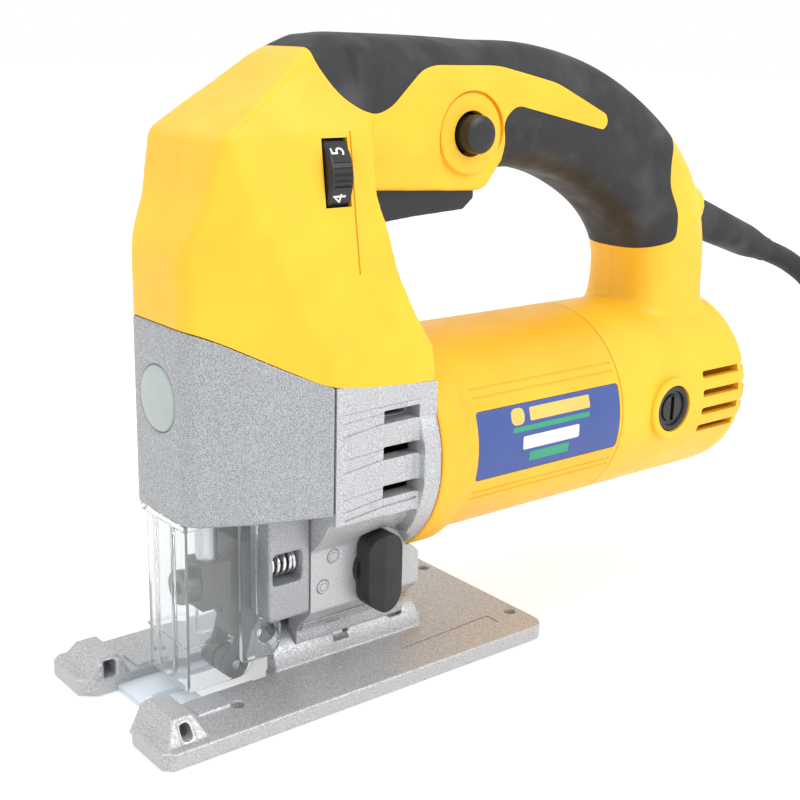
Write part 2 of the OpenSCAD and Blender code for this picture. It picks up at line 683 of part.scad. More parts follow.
// ---------- shoe ----------
FENCE_HOLE = [-65.5, 8];
HOLLOW_R = ridge_r - 3.6;        // hollow under the ridge
module shoe_outline() {
  half = shoe_w / 2;
  corner = 6;
  difference() {
    union() {
      polygon([
        [-shoe_l / 2, -half + 3], [-shoe_l / 2 + 3, -half], [shoe_l / 2 - corner, -half],
        [shoe_l / 2, -half + corner], [shoe_l / 2, half - corner],
        [shoe_l / 2 - corner, half], [-shoe_l / 2 + 3, half], [-shoe_l / 2, half - 3]
      ]);
      for (y = [-1, 1]) translate([shoe_l / 2 - corner, y * (half - corner)])
        circle(r = corner);
    }
    translate([-shoe_l / 2 - 1, -slot_w / 2]) square([52.5, slot_w]);
    for (y = [-1, 1]) translate([-23.5 - 4, y * (slot_w / 2 - 4)]) circle(r = 4);
    translate([-30, -slot_w / 2 + 4]) square([6.5 + 4, slot_w - 8]);
    // wider mouth of the slot
    polygon([[-76, -19], [-70, -slot_w / 2], [-70, slot_w / 2], [-76, 19]]);
  }
}
module fence_block() {
  intersection() {
    along_y(-BIG, BIG) polygon([[-74, 2], [-69, 12], [-62, 12], [-57, 2]]);
    along_x(-BIG, BIG) polygon([[-37.5, 2], [-31, 12], [-16, 12], [-14, 10], [-14, 2]]);
  }
}
PLATE_HOLES = [[70.5, 24], [-42.5, 24]];
module shoe() {
  color("#aeb1b3") difference() {
    union() {
      linear_extrude(shoe_t) shoe_outline();
      both_sides() fence_block();
      both_sides() box([-56, -24, 2], [-44, -15, shoe_t + 1]);
      intersection() {
        rod_x(RIDGE_X[0], RIDGE_X[1], ridge_r, 0, TILT_Z);
        box([-BIG, -BIG, 0], [BIG, BIG, BIG]);
      }
    }
    rod_x(RIDGE_X[0] + 3, RIDGE_X[1] - 3, HOLLOW_R, 0, TILT_Z);
    // room for the roller arm in front of the ridge
    box([-24, -8.6, -1], [RIDGE_X[0] + 4, 8.6, BIG]);
    // curved slots for the two bolts
    for (x = BOLT_X) intersection() {
      rod_x(x - 2.9, x + 2.9, ridge_r + 1, 0, TILT_Z);
      along_x(-BIG, BIG) polygon([[0, TILT_Z], [-30, TILT_Z + 20], [-30, 40], [30, 40],
        [30, TILT_Z + 20]]);
    }
    both_sides() for (p = PLATE_HOLES) rod_z(-1, shoe_t + 1, 2.1, p[0], p[1]);
    // slots for a parallel guide
    box([FENCE_HOLE[0] - 2.1, -BIG, FENCE_HOLE[1] - 2.6],
      [FENCE_HOLE[0] + 2.1, BIG, FENCE_HOLE[1] + 2.6]);
  }
}
module slot_insert() {
  color("#dfe9f2", 0.5) difference() {
    intersection() {
      translate([0, 0, 0.6]) linear_extrude(1.8) polygon([
        [-63.5, -slot_w / 2], [-23.6, -slot_w / 2], [-23.6, slot_w / 2],
        [-63.5, slot_w / 2]
      ]);
      box([-64, -BIG, 0], [-27.5, BIG, 10]);
    }
    box([-46, -8.6, 0], [-20, 8.6, 10]);
    box([-58, -1.2, 0], [-45, 1.2, 10]);
  }
}
module clamp_plate() {
  color("#c3c6c8") difference() {
    intersection() {
      rod_x(BOLT_X[0] - 6, BOLT_X[1] + 6, HOLLOW_R - GAP, 0, TILT_Z);
      box([-BIG, -7, 9], [BIG, 7, BIG]);
    }
    for (x = BOLT_X) rod_z(0, 30, 2.5, x, 0);
  }
}
module shoe_bolts() {
  color("#7c7f82") for (x = BOLT_X) difference() {
    union() {
      rod_z(5, 32, 2.5, x, 0);
      rod_z(4.6, 9, 4.4, x, 0);
    }
    translate([x, 0, 4]) cylinder(r = 2.3, h = 3.2, $fn = 6);
  }
}

// ---------- controls ----------
SWITCH_Z = 168.2 + trigger_travel;
module trigger() {
  color("#232426") union() {
    along_y(-10, 10) polygon([
      [12.4, 166.5], [12.4, 147], [16, 145], [34, 146.5], [54, 147.5], [58.4, 151],
      [58.4, 166.5]
    ]);
    // lip that keeps it in the handle, and the pin that works the switch
    box([13, -12.2, 166.2], [40, 12.2, 167.4]);
    rod_z(166, 176, 2.2, 30, 0);
  }
}
module lock_button() {
  color("#141416") union() {
    rod_y(-21.4, -17, 6.3, LOCK_AT[0], LOCK_AT[1]);
    rod_y(-18, -13.2, 3, LOCK_AT[0], LOCK_AT[1]);
    box([LOCK_AT[0] - 8, -13.2, 171.6], [LOCK_AT[0] + 8, -12.2, 177]);
  }
}
module speed_dial() {
  color("#1b1c1e") difference() {
    rod_x(DIAL_AT[0] - 4.1, DIAL_AT[0] + 4.1, DIAL_R, DIAL_AT[1], DIAL_AT[2]);
    rod_x(-BIG, BIG, 3, DIAL_AT[1], DIAL_AT[2]);
    for (a = [0 : 15 : 345])
      translate([0, DIAL_AT[1], DIAL_AT[2]]) rotate([a, 0, 0])
        box([DIAL_AT[0] - 5, DIAL_R - 0.7, -0.6], [DIAL_AT[0] + 5, DIAL_R + 1, 0.6]);
  }
}
module speed_module() {
  color("#2f5d3a") union() {
    rod_x(DIAL_AT[0] - 6, DIAL_AT[0] + 7, 2.95, DIAL_AT[1], DIAL_AT[2]);
    box([DIAL_AT[0] + 5, -19, 156], [DIAL_AT[0] + 7, 14, 176]);
    box([DIAL_AT[0] + 6, -9, 163], [DIAL_AT[0] + 11.5, 9, 176]);
  }
}
module switch_body() {
  color("#2a2b2e") difference() {
    box([14, -8.8, SWITCH_Z], [56, 8.8, 190]);
    rod_z(SWITCH_Z - 1, 182, 2.4, 30, 0);
  }
}
module housing_screws() {
  color("#6d7073") for (i = [0 : len(SCREW_AT) - 1]) {
    rod_y(-11, SCREW_HEAD_Y[i] + 0.1, 2, SCREW_AT[i][0], SCREW_AT[i][1]);
    difference() {
      rod_y(SCREW_HEAD_Y[i], SCREW_HEAD_Y[i] + 2.4, 3.5, SCREW_AT[i][0], SCREW_AT[i][1]);
      translate([SCREW_AT[i][0], SCREW_HEAD_Y[i] + 3, SCREW_AT[i][1]])
        rotate([90, 0, 0]) cylinder(r = 1.5, h = 2, $fn = 6);
    }
  }
}

// ---------- cord ----------
RELIEF_END = RELIEF_FROM + RELIEF_L * [cos(RELIEF_DIP), -sin(RELIEF_DIP)];
module strain_relief() {
  color("#28292b") on_relief_axis() rotate_extrude() polygon([
    [cord_d / 2, -13.5], [8.1, -13.5], [8.1, 4], [7.6, 4.5], [5.6, RELIEF_L],
    [cord_d / 2, RELIEF_L]
  ]);
}
module cord_clamp() {
  color("#3b3d40") difference() {
    box([148, -11, 131], [158, 11, 150]);
    on_relief_axis() translate([0, 0, -40]) cylinder(r = cord_d / 2, h = 40);
  }
}
// Route of the cord: out of the strain relief, down and round to the coil
CORD_ROUTE = [
  [RELIEF_END[0], 0, RELIEF_END[1]],
  [249, 0, 112.3], [264, -1.5, 103.5], [276, -5, 91], [285, -10.5, 76], [291, -17, 60],
  [296, -24.5, 43], [301, -34, 26], [308, -44, 11], [319, -53.5, 4.6],
  [332.5, -60, 4.6], [346, -62.8, 4.6]
];
// The coil: two turns wide and three high
COIL_AT = [382, -14];
COIL_R = 45.5;
COIL_W = 2 * cord_d;
COIL_H = 3 * cord_d;
function bend(points, i, t) =
  let (n = len(points) - 1, a = points[max(0, i - 1)], b = points[i],
    c = points[min(n, i + 1)], d = points[min(n, i + 2)])
  0.5 * ((2 * b) + (c - a) * t + (2 * a - 5 * b + 4 * c - d) * t * t
    + (3 * b - a - 3 * c + d) * t * t * t);
function unit(v) = v / norm(v);
module swept_tube(points, r, per_span) {
  sides = 10;
  line = [for (i = [0 : len(points) - 2]) for (k = [0 : per_span - 1])
    bend(points, i, k / per_span), points[len(points) - 1]];
  last = len(line) - 1;
  ring = function(i)
    let (t = unit(line[min(last, i + 1)] - line[max(0, i - 1)]),
      s = unit(cross(t, [0, 1, 0.2])), u = cross(s, t))
    [for (k = [0 : sides - 1]) line[i] + r * (s * cos(360 * k / sides) + u * sin(360 * k / sides))];
  polyhedron([for (i = [0 : last]) each ring(i)], concat(
    [[for (k = [sides - 1 : -1 : 0]) k]],
    [[for (k = [0 : sides - 1]) last * sides + k]],
    [for (i = [0 : last - 1]) for (k = [0 : sides - 1]) let (n = (k + 1) % sides)
      each [[i * sides + k, i * sides + n, (i + 1) * sides + n],
        [i * sides + k, (i + 1) * sides + n, (i + 1) * sides + k]]]
  ));
}
module cord() {
  color("#222325") swept_tube(CORD_ROUTE, cord_d / 2, 2);
}
module cord_coil() {
  color("#222325") translate([COIL_AT[0], COIL_AT[1], 0]) rotate_extrude()
    translate([COIL_R - COIL_W / 2, 0]) square([COIL_W, COIL_H]);
}
PLUG_AT = [394, -50.5, COIL_H];
module plug() {
  color("#1d1e20") translate(PLUG_AT) {
    translate([0, 0, 7]) rotate([0, 90, 0]) {
      linear_extrude(34) {
        square([14, 21], center = true);
        for (y = [-1, 1]) translate([0, y * 10.5]) circle(r = 7);
      }
      translate([0, 0, -18]) cylinder(r = cord_d / 2 + 1.2, h = 19);
    }
    for (y = [-9.5, 9.5]) rod_x(33, 53, 2.4, y, 7);
  }
}

housing_left();
housing_right();
grip_left();
grip_right();
motor_housing();
gear_case_front();
gear_case_rear();
front_plug();
name_plate();
trigger();
lock_button();
speed_dial();
speed_module();
switch_body();
brush_cap_left();
brush_cap_right();
brush_holders();
carbon_brushes();
stator_core();
field_coils();
armature();
commutator();
cooling_fan();
motor_bearings();
drive_gear();
gear_axle();
plunger();
plunger_bushes();
blade_clamp();
clamp_screw();
roller_arm();
arm_pivot_pin();
blade_roller();
roller_pin();
orbit_knob();
arm_spring();
stop_pin();
blade_guard();
slot_insert();
shoe();
clamp_plate();
shoe_bolts();
housing_screws();
case_screws();
cord_clamp();
strain_relief();
cord();
cord_coil();
plug();
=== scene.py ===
"""Looks of a corded jigsaw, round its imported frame. Lengths are millimetres until a mesh is made."""
import json
from math import asin, cos, pi, radians, sin, sqrt

import bmesh
import bpy
from mathutils import Matrix, Vector


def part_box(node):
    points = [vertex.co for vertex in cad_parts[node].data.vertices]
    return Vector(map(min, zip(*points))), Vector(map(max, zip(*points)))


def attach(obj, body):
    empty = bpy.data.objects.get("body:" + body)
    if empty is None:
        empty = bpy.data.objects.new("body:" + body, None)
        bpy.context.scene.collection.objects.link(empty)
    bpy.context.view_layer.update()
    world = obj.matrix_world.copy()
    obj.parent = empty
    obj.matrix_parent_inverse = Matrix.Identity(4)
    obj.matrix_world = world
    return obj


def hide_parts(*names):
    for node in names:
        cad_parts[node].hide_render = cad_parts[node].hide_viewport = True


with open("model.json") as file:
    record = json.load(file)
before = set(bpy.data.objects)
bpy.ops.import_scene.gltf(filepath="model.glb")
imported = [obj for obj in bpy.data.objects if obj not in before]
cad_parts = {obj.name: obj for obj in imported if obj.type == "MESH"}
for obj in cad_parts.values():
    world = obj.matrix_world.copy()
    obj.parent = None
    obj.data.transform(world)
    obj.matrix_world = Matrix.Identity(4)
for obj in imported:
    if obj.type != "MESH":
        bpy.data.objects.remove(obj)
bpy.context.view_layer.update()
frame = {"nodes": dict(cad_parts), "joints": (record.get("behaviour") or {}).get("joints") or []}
MM = 0.001
NODES = frame["nodes"]


def link(name, data):
    thing = bpy.data.objects.new(name, data)
    bpy.context.scene.collection.objects.link(thing)
    return thing


# ---------- camera ----------
def add_camera():
    data = bpy.data.cameras.new("camera")
    data.sensor_width = 36
    data.lens = 58.7
    data.clip_start = 0.01
    azimuth, elevation, roll = radians(-39.0), radians(15.85), radians(1.4)
    back = Vector((sin(azimuth) * cos(elevation), -cos(azimuth) * cos(elevation), sin(elevation)))
    right = Vector((cos(azimuth), sin(azimuth), 0))
    up = back.cross(right)
    across = cos(roll) * right + sin(roll) * up
    upward = -sin(roll) * right + cos(roll) * up
    camera = link("camera", data)
    turn = Matrix((across, upward, back)).transposed().to_4x4()
    camera.matrix_world = Matrix.Translation(Vector((-229.6, -329.9, 203.5)) * MM) @ turn
    bpy.context.scene.camera = camera


add_camera()


# ---------- materials ----------
def new_material(name, colour, rough, metal=0.0, **sockets):
    material = bpy.data.materials.new(name)
    material.use_nodes = True
    shader = material.node_tree.nodes["Principled BSDF"]
    shader.inputs["Base Color"].default_value = (*colour, 1)
    shader.inputs["Roughness"].default_value = rough
    shader.inputs["Metallic"].default_value = metal
    for socket, value in sockets.items():
        shader.inputs[socket.replace("_", " ")].default_value = value
    return material


def noise(material, scale, detail=3.0, stretch=(1, 1, 1)):
    tree = material.node_tree
    place = tree.nodes.new("ShaderNodeTexCoord")
    mapping = tree.nodes.new("ShaderNodeMapping")
    mapping.inputs["Scale"].default_value = stretch
    texture = tree.nodes.new("ShaderNodeTexNoise")
    texture.inputs["Scale"].default_value = scale
    texture.inputs["Detail"].default_value = detail
    tree.links.new(place.outputs["Object"], mapping.inputs["Vector"])
    tree.links.new(mapping.outputs["Vector"], texture.inputs["Vector"])
    return texture.outputs["Fac"]


def ramp(material, value, stops):
    """Colours blended between stops, each (position, colour)."""
    node = material.node_tree.nodes.new("ShaderNodeValToRGB")
    material.node_tree.links.new(value, node.inputs["Fac"])
    elements = node.color_ramp.elements
    while len(elements) < len(stops):
        elements.new(0.5)
    for element, (position, colour) in zip(elements, stops):
        element.position = position
        element.color = (*colour, 1)
    return node.outputs["Color"]


def feed(material, output, socket):
    """Links an output to one of the shader's sockets."""
    shader = material.node_tree.nodes["Principled BSDF"]
    material.node_tree.links.new(output, shader.inputs[socket])


def grey_range(material, value, low, high, socket):
    """Feeds a value, spread between low and high, to a socket."""
    stops = [(0.3, (low,) * 3), (0.7, (high,) * 3)]
    feed(material, ramp(material, value, stops), socket)


def bump(material, value, strength, distance):
    tree = material.node_tree
    node = tree.nodes.new("ShaderNodeBump")
    node.inputs["Strength"].default_value = strength
    node.inputs["Distance"].default_value = distance * MM
    tree.links.new(value, node.inputs["Height"])
    earlier = [k for k in tree.links if k.to_socket.name == "Normal" and k.to_node.type == "BSDF_PRINCIPLED"]
    for old in earlier:
        tree.links.new(old.from_socket, node.inputs["Normal"])
    feed(material, node.outputs["Normal"], "Normal")


def shades(colour, low, high):
    """A darker and a lighter shade of a colour."""
    return tuple(c * low for c in colour), tuple(min(1, c * high) for c in colour)


def moulded(name, colour, rough, grain=0.12, spread=0.05, **sockets):
    """Moulded plastic: faint mottling, fine orange peel and a few duller rubbed patches."""
    material = new_material(name, colour, rough, **sockets)
    dark, light = shades(colour, 1 - spread, 1 + spread)
    feed(material, ramp(material, noise(material, 45, 4), [(0.35, dark), (0.65, light)]), "Base Color")
    grey_range(material, noise(material, 160, 5), rough * 0.85, rough * 1.2, "Roughness")
    bump(material, noise(material, 2600, 2), grain, 0.05)
    return material


def sand_paint(name, colour, sparkle=1.0):
    """Metallic paint with visible bright flakes over cast metal."""
    material = new_material(name, colour, 0.45, 0.4)
    dark, light = shades(colour, 1 - 0.42 * sparkle, 1 + 0.42 * sparkle)
    flakes = noise(material, 3400, 1.0)
    feed(material, ramp(material, flakes, [(0.34, dark), (0.5, colour), (0.66, light)]), "Base Color")
    grey_range(material, noise(material, 900, 2), 0.3, 0.55, "Roughness")
    bump(material, noise(material, 3000, 1), 0.14, 0.03)
    return material


def steel(name, colour, rough, stretch=(1, 1, 1)):
    """Machined metal: fine tool marks and uneven polish."""
    material = new_material(name, colour, rough, 1.0)
    dark, light = shades(colour, 0.86, 1.1)
    marks = noise(material, 700, 3, stretch)
    feed(material, ramp(material, marks, [(0.35, dark), (0.65, light)]), "Base Color")
    grey_range(material, marks, rough * 0.75, rough * 1.3, "Roughness")
    bump(material, marks, 0.15, 0.03)
    return material


def soft_rubber(name, colour):
    """Matt rubber with pale dust and rubbed spots."""
    material = new_material(name, colour, 0.62, Specular_IOR_Level=0.42)
    dusty = tuple(c + 0.035 for c in colour)
    feed(material, ramp(material, noise(material, 70, 8), [(0.5, colour), (0.78, dusty)]), "Base Color")
    grey_range(material, noise(material, 120, 5), 0.5, 0.72, "Roughness")
    bump(material, noise(material, 3000, 2), 0.25, 0.05)
    bump(material, noise(material, 220, 3), 0.1, 0.12)
    return material


def clear(name, colour, rough, passing):
    """Clear moulded plastic with faint flow marks and a milky handling haze."""
    material = new_material(name, colour, rough, Transmission_Weight=passing, IOR=1.2)
    grey_range(material, noise(material, 60, 4), rough * 0.5, rough * 2.2, "Roughness")
    bump(material, noise(material, 35, 2, (1, 1, 0.3)), 0.08, 0.3)
    return material


YELLOW = moulded("yellow_plastic", (0.96, 0.53, 0.03), 0.4, Specular_IOR_Level=0.35)
# Darker copy of the yellow plastic for the motor tube: painted shade, the tube is the same yellow as the
# rest of the cover
YELLOW_SHADED = moulded("yellow_plastic_tube_painted_shade", (0.96, 0.49, 0.026), 0.42, Specular_IOR_Level=0.35)
RUBBER = soft_rubber("grip_rubber", (0.021, 0.022, 0.025))
CORD_RUBBER = soft_rubber("cord_rubber", (0.014, 0.014, 0.016))
SILVER = sand_paint("silver_sand_paint", (0.49, 0.5, 0.515), 0.75)
# Darker copy of the silver sand paint for the front casting: painted shade, it is the same paint as the rear
# casting
SILVER_SHADED = sand_paint("silver_sand_paint_front_painted_shade", (0.36, 0.37, 0.385), 0.95)
SHOE_PAINT = sand_paint("shoe_sand_paint", (0.46, 0.465, 0.475), 0.85)
BLACK = moulded("black_plastic", (0.012, 0.012, 0.013), 0.34, 0.2)
KNOB_BLACK = moulded("knob_plastic", (0.014, 0.014, 0.015), 0.5, 0.35)
WHITE_PRINT = moulded("white_print", (0.75, 0.75, 0.74), 0.5)
LABEL_BLUE = moulded("label_blue", (0.045, 0.085, 0.30), 0.42)
LABEL_GREEN = moulded("label_green", (0.03, 0.32, 0.17), 0.45)
LABEL_GOLD = moulded("label_gold", (0.72, 0.52, 0.12), 0.4)
PLUG_GREY = moulded("grey_plastic", (0.42, 0.47, 0.46), 0.4)
BOARD = moulded("circuit_board", (0.02, 0.11, 0.05), 0.45)
STEEL = steel("ground_steel", (0.62, 0.62, 0.63), 0.26, (1, 1, 0.05))
SPRING = steel("spring_steel", (0.75, 0.75, 0.76), 0.2)
DARK_STEEL = steel("black_oxide_steel", (0.09, 0.092, 0.096), 0.38)
CORE = steel("core_steel", (0.36, 0.37, 0.38), 0.42, (8, 1, 1))
BRASS = steel("brass", (0.72, 0.49, 0.19), 0.32)
COPPER = steel("copper", (0.72, 0.32, 0.14), 0.35)
CARBON = moulded("carbon", (0.02, 0.02, 0.022), 0.7, 0.4)
CLEAR = clear("clear_guard", (0.96, 0.98, 0.99), 0.03, 0.9)
CLEAR_BLUE = clear("clear_insert", (0.88, 0.94, 1.0), 0.12, 0.45)


# ---------- mesh tools ----------
def mesh_object(name, points, faces):
    mesh = bpy.data.meshes.new(name)
    mesh.from_pydata([Vector(p) * MM for p in points], [], faces)
    mesh.update()
    return link(name, mesh)


def apply_modifiers(thing):
    graph = bpy.context.evaluated_depsgraph_get()
    graph.update()
    baked = bpy.data.meshes.new_from_object(thing.evaluated_get(graph))
    thing.modifiers.clear()
    thing.data = baked
    return thing


def tidy_mesh(thing, gap=0.0005):
    shape = bmesh.new()
    shape.from_mesh(thing.data)
    bmesh.ops.remove_doubles(shape, verts=shape.verts, dist=gap * MM)
    bmesh.ops.recalc_face_normals(shape, faces=shape.faces)
    shape.to_mesh(thing.data)
    shape.free()
    return thing


def prism(outline, place, low, high):
    """A closed outline pushed along one axis; place turns (u, v, depth) into a point."""
    count = len(outline)
    points = [place(u, v, low) for u, v in outline] + [place(u, v, high) for u, v in outline]
    faces = [list(range(count)), list(range(2 * count - 1, count - 1, -1))]
    faces += [[i, (i + 1) % count, (i + 1) % count + count, i + count] for i in range(count)]
    return tidy_mesh(mesh_object("prism", points, faces))


def along_x(outline, low, high):
    return prism(outline, lambda u, v, d: (d, u, v), low, high)


def along_y(outline, low, high):
    return prism(outline, lambda u, v, d: (u, d, v), low, high)


def along_z(outline, low, high):
    return prism(outline, lambda u, v, d: (u, v, d), low, high)


def box(low, high):
    corners = [(low[0], low[1]), (high[0], low[1]), (high[0], high[1]), (low[0], high[1])]
    return along_z(corners, low[2], high[2])


def circle_points(centre, r, count=64):
    turns = [2 * pi * i / count for i in range(count)]
    return [(centre[0] + r * cos(a), centre[1] + r * sin(a)) for a in turns]


def rod_y(low, high, r, x, z, count=64):
    return along_y(circle_points((x, z), r, count), low, high)


def rod_x(low, high, r, y, z, count=96):
    return along_x(circle_points((y, z), r, count), low, high)


def rod_z(low, high, r, x, y, count=48):
    return along_z(circle_points((x, y), r, count), low, high)


def loft(name, rings):
    """A closed solid through rings of points, capped at both ends."""
    count = len(rings[0])
    points = [p for ring in rings for p in ring]
    faces = [list(range(count))[::-1], [(len(rings) - 1) * count + i for i in range(count)]]
    for i in range(len(rings) - 1):
        for k in range(count):
            n = (k + 1) % count
            faces.append([i * count + k, i * count + n, (i + 1) * count + n, (i + 1) * count + k])
    return tidy_mesh(mesh_object(name, points, faces))


def lathe_x(profile, y, z, count=96):
    """A solid turned about an axis along X. The profile is (x, r) pairs."""
    turns = [2 * pi * k / count for k in range(count)]
    rings = [[(x, y + r * cos(a), z + r * sin(a)) for a in turns] for x, r in profile]
    return loft("lathe", rings)


def lathe_y(profile, x, z, count=96):
    turns = [2 * pi * k / count for k in range(count)]
    return loft("lathe", [[(x + r * cos(a), y, z + r * sin(a)) for a in turns] for y, r in profile])


def combine(thing, other, operation):
    step = thing.modifiers.new("step", "BOOLEAN")
    step.operation = operation
    step.solver = "MANIFOLD"
    step.object = other
    apply_modifiers(thing)
    bpy.data.objects.remove(other)
    return thing


def union(first, *others):
    for other in others:
        combine(first, other, "UNION")
    return first


def cut(first, *others):
    for other in others:
        combine(first, other, "DIFFERENCE")
    return first


def keep(first, *others):
    for other in others:
        combine(first, other, "INTERSECT")
    return first


def copy_of(thing, name="copy"):
    return link(name, thing.data.copy())


def soften(thing, voxel, passes):
    """Rounds every edge by remeshing finely and relaxing the surface."""
    remesh = thing.modifiers.new("remesh", "REMESH")
    remesh.mode = "VOXEL"
    remesh.voxel_size = voxel * MM
    relax = thing.modifiers.new("relax", "SMOOTH")
    relax.factor = 0.5
    relax.iterations = passes
    return apply_modifiers(thing)


def round_edges(thing, width, segments=3, angle=28):
    """Rounds the sharp edges of a clean solid."""
    shape = bmesh.new()
    shape.from_mesh(thing.data)
    bmesh.ops.remove_doubles(shape, verts=shape.verts, dist=0.002 * MM)
    bmesh.ops.dissolve_limit(shape, angle_limit=radians(1), verts=shape.verts, edges=shape.edges)
    shape.to_mesh(thing.data)
    shape.free()
    bevel = thing.modifiers.new("bevel", "BEVEL")
    bevel.width = width * MM
    bevel.segments = segments
    bevel.limit_method = "ANGLE"
    bevel.angle_limit = radians(angle)
    bevel.harden_normals = False
    return apply_modifiers(thing)


def smooth_shading(thing, angle=35):
    thing.data.shade_smooth()
    thing.data.set_sharp_from_angle(angle=radians(angle))


def place(thing, name, material, slot, nodes=(), body="saw", angle=35):
    """Names a finished piece, gives it its looks and lets it stand for its CAD nodes."""
    thing.name = name
    thing.data.name = name
    thing.data.materials.clear()
    thing.data.materials.append(material)
    smooth_shading(thing, angle)
    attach(thing, body)
    if nodes:
        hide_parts(*nodes)
    return thing


def cad_copy(node):
    """A welded copy of a CAD node's mesh."""
    thing = copy_of(NODES[node])
    return tidy_mesh(thing)


def catmull(points, per_span):
    """A smooth open curve through points of any dimension."""
    made = []
    last = len(points) - 1
    for i in range(last):
        a, b, c, d = points[max(0, i - 1)], points[i], points[i + 1], points[min(last, i + 2)]
        for k in range(per_span):
            t = k / per_span
            point = []
            for p, q, r, s in zip(a, b, c, d):
                square = (2 * p - 5 * q + 4 * r - s) * t * t
                cube = (3 * q - p - 3 * r + s) * t ** 3
                point.append(0.5 * (2 * q + (r - p) * t + square + cube))
            made.append(tuple(point))
    return made + [tuple(points[-1])]


def rounded(outline, r, steps=5):
    """A closed outline with its corners rounded by arcs of about radius r."""
    made = []
    count = len(outline)
    for i in range(count):
        before, here, after = (Vector(outline[(i + k) % count]) for k in (-1, 0, 1))
        reach = min(r, (before - here).length * 0.45, (after - here).length * 0.45)
        start = here + (before - here).normalized() * reach
        end = here + (after - here).normalized() * reach
        for k in range(steps + 1):
            t = k / steps
            made.append(tuple((1 - t) ** 2 * start + 2 * t * (1 - t) * here + t * t * end))
    return made


# ---------- places read from the frame ----------
def middle(node):
    low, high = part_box(node)
    return (low + high) / 2 / MM


def joint(name):
    return next(j for j in frame["joints"] if j["name"] == name)


MOTOR_Z = joint("motor_spin")["pos_m"][2] / MM
BARREL_R = (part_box("motor_housing")[1].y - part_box("motor_housing")[0].y) / 2 / MM - 2.5
BRUSH_X = middle("brush_cap_left").x
DIAL = Vector(joint("speed_turn")["pos_m"]) / MM
KNOB = Vector(joint("orbit_turn")["pos_m"]) / MM
LOCK = middle("lock_button")
REAR_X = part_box("housing_left")[1].x / MM
GRIP_W = -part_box("grip_left")[0].y / MM
COVER_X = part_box("motor_housing")[1].x / MM
FLANGE_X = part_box("motor_housing")[0].x / MM
SPLIT_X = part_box("gear_case_front")[1].x / MM
STATOR_X = [corner.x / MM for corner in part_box("stator_core")]

# ---------- cord ----------
CORD_D = 9.0
CORD_ROUTE = [
    (232.4, 0, 118.2), (249, 0, 112.3), (264, -1.5, 103.5), (276, -5, 91), (285, -10.5, 76),
    (291, -17, 60), (296, -24.5, 43), (301, -34, 26), (308, -44, 11), (319, -53.5, 4.6),
    (332.5, -60, 4.6), (346, -62.8, 4.6),
]
COIL_AT = middle("cord_coil")
COIL_R = 45.5
PLUG_ENTRY = (382, -50.5, 34)


def ease(value, start, end):
    t = min(1, max(0, (value - start) / (end - start)))
    return t * t * (3 - 2 * t)


def coil_points():
    """Turns two wide and three high, each moving over before it meets the one below."""
    inner, outer = COIL_R - CORD_D / 2, COIL_R + CORD_D / 2
    first, shift, turn = 330, 40, 310
    states = [(outer, 0), (inner, 0), (inner, 1), (outer, 1), (outer, 2), (inner, 2)]
    begin, plug_turn = 259, 260.7
    stop = plug_turn + 5 * 360 - begin
    points = []
    angle = 6.0
    while angle <= stop:
        r, level = states[0]
        for k in range(1, len(states)):
            t = ease(angle, first + (k - 1) * turn, first + (k - 1) * turn + shift)
            r += (states[k][0] - states[k - 1][0]) * t
            level += (states[k][1] - states[k - 1][1]) * t
        r += 3 * (1 - ease(angle, 0, 50))
        rise = ease(angle, stop - 78, stop - 4)
        z = CORD_D * (level + 0.5) + rise * 11.5
        r -= 4 * ease(angle, stop - 90, stop)
        a = radians(begin + angle)
        points.append((COIL_AT.x + r * cos(a), COIL_AT.y + r * sin(a), max(z, 4.6)))
        angle += 8
    return points


def add_cord():
    tail = coil_points() + [PLUG_ENTRY]
    points = catmull(CORD_ROUTE + [(358, -64.8, 4.6)], 4) + tail
    data = bpy.data.curves.new("cord_line", "CURVE")
    data.dimensions = "3D"
    data.bevel_depth = CORD_D / 2 * MM
    data.bevel_resolution = 5
    data.use_fill_caps = True
    spline = data.splines.new("POLY")
    spline.points.add(len(points) - 1)
    for point, co in zip(spline.points, points):
        point.co = (*(Vector(co) * MM), 1)
    spline.use_smooth = True
    data.materials.append(CORD_RUBBER)
    flex = link("cord_line", data)
    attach(flex, "saw")
    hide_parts("cord", "cord_coil")
    return flex


flex = add_cord()


# ---------- housing ----------
WALL = 2.5
RUBBER_T = 1.8
HANDLE_ROUND = 3.0
# Each handle station: centre x, centre z, direction in degrees, half height
STATIONS = [
    (4, 179.5, 0, 23), (35, 179.5, 0, 22.5), (60, 180, 0, 21), (80, 180, -6, 20.5),
    (102, 175.5, -20, 20.5), (122, 167, -35, 20.5), (140, 155, -50, 20.5),
    (152, 141, -66, 20), (157.5, 126, -84, 19), (158, 110, -90, 19.5), (157, 99, -90, 24),
]
# Lower edge of the yellow cover over the silver castings, from front to back
COVER_EDGE = catmull([
    (-54, 121), (-45, 117.5), (-24, 107), (SPLIT_X, 102.5), (5, 100.4), (FLANGE_X, 99.5),
], 6)
RUBBER_SIDE = [
    (-13, 215), (-9.5, 200), (-8, 193), (-5, 188), (-1, 184), (5, 180.5), (11, 179.3),
    (16.5, 181.5), (23, 187.5), (28.5, 192), (34, 193.6), (60.5, 193.5),
    (86, 188), (110, 177.5), (111, 174.5), (109, 172), (67.5, 181), (62, 176),
    (64.5, 168), (64.5, 161), (56.5, 154), (54, 140), (120, 120), (136, 127.5), (152, 131), (152, 141),
    (146, 151), (146, 160), (152, 172), (165, 190), (150, 215),
]
SCREWS = [(-38, 158, 15), (-10, 188, 14), (88, 180, 12), (158, 116, 13), (120, 47, 22), (176, 52, 22)]
RELIEF_FROM = Vector((174, 0, 139))
RELIEF_DIP = radians(19.6)
RELIEF_L = 62.0
RELIEF_WAY = Vector((cos(RELIEF_DIP), 0, -sin(RELIEF_DIP)))


